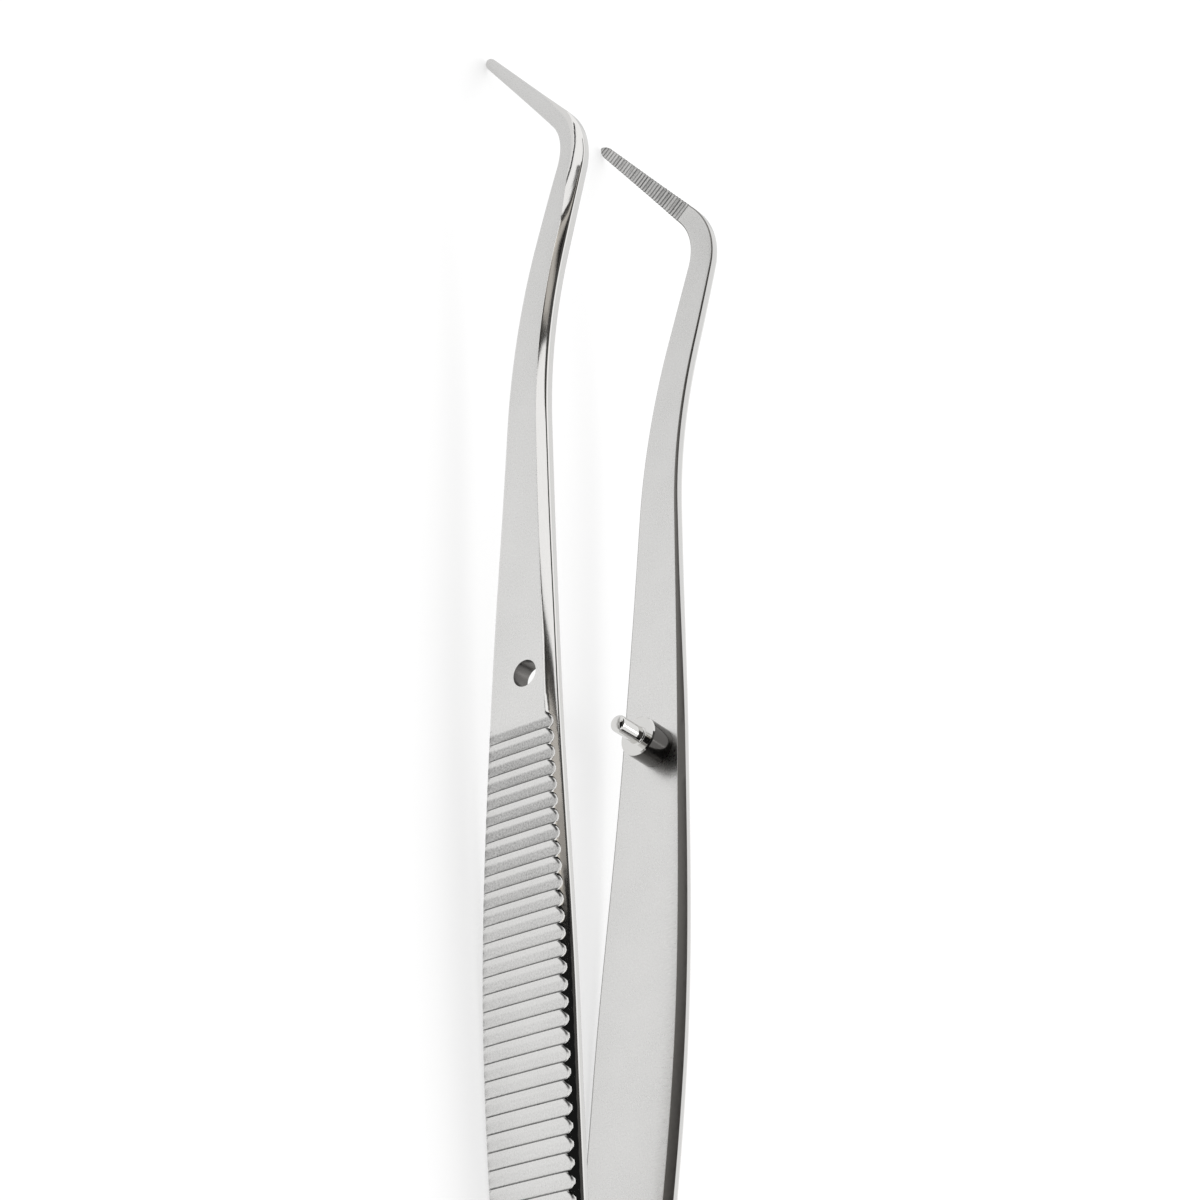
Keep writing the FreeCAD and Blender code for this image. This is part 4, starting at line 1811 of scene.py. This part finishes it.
@dataclass(frozen=True)
class Camera:
    """Camera of the photograph, in the strip's own frame.

    Attributes:
        place: Place of the camera in millimetres.
        right: Direction of the picture's right side, which the view turns square to the forward one.
        forward: Direction of the view.
        lens: Focal length in millimetres.
        sensor: Width of the sensor in millimetres.
        clip_start: Least distance that the camera sees in metres.
    """

    place: tuple[float, float, float] = (-38.97, 189.16, 154.30)
    right: tuple[float, float, float] = (0.0148, -0.6244, 0.7810)
    forward: tuple[float, float, float] = (0.4765, -0.6823, -0.5545)
    lens: float = 95.45
    sensor: float = 36.0
    clip_start: float = 0.01

    def build(self, rest: Rest) -> None:
        """Set the camera up.

        Args:
            rest: How the strip lies.
        """
        forward = rest.direction(Vector(self.forward)).normalized()
        up = rest.direction(Vector(self.right)).cross(forward).normalized()
        right = forward.cross(up)
        turn = Matrix((right, up, -forward)).transposed().to_4x4()
        data = bpy.data.cameras.new("camera")
        data.lens = self.lens
        data.sensor_width = self.sensor
        data.clip_start = self.clip_start
        camera = bpy.data.objects.new("camera", data)
        camera.matrix_world = Matrix.Translation(rest.point(Vector(self.place))) @ turn
        bpy.context.scene.collection.objects.link(camera)
        bpy.context.scene.camera = camera


def main() -> None:
    """Build the pieces in order, then the studio and the camera."""
    logging.basicConfig(level=logging.INFO, format="%(name)s: %(message)s")
    bpy.context.scene.view_settings.view_transform = "Standard"
    strip = Strip()
    rest = Rest.of(strip)
    guide = GuideLine(strip)
    steels = {finish: steel.material() for finish, steel in STRIP_STEELS.items()}
    bore_shade_steel = BORE_SHADE_STEEL.material()
    tree = SinkTree(steels)
    arms = (
        (Side.HOLE, "arm_with_guide_hole", guide.hole_radius),
        (Side.PIN, "arm_with_guide_pin", guide.rivet_radius),
    )
    for side, node, radius in arms:
        cutter = guide.rod(side, rest, radius)
        piece = Arm(strip, side, node).build(rest, tree, steels, cutter, bore_shade_steel)
        discard(cutter)
        log.info("%s: %d faces", piece.name, len(piece.data.polygons))
    pin = GuidePin(guide).build(rest, PIN_STEEL.material(), COLLAR_REFLECTION_STEEL.material())
    log.info("%s: %d faces", pin.name, len(pin.data.polygons))
    studio = Studio()
    studio.build_world()
    studio.build_floor()
    studio.build_lamp()
    studio.build_cards(rest)
    Camera().build(rest)


if __name__ == "__main__":
    main()
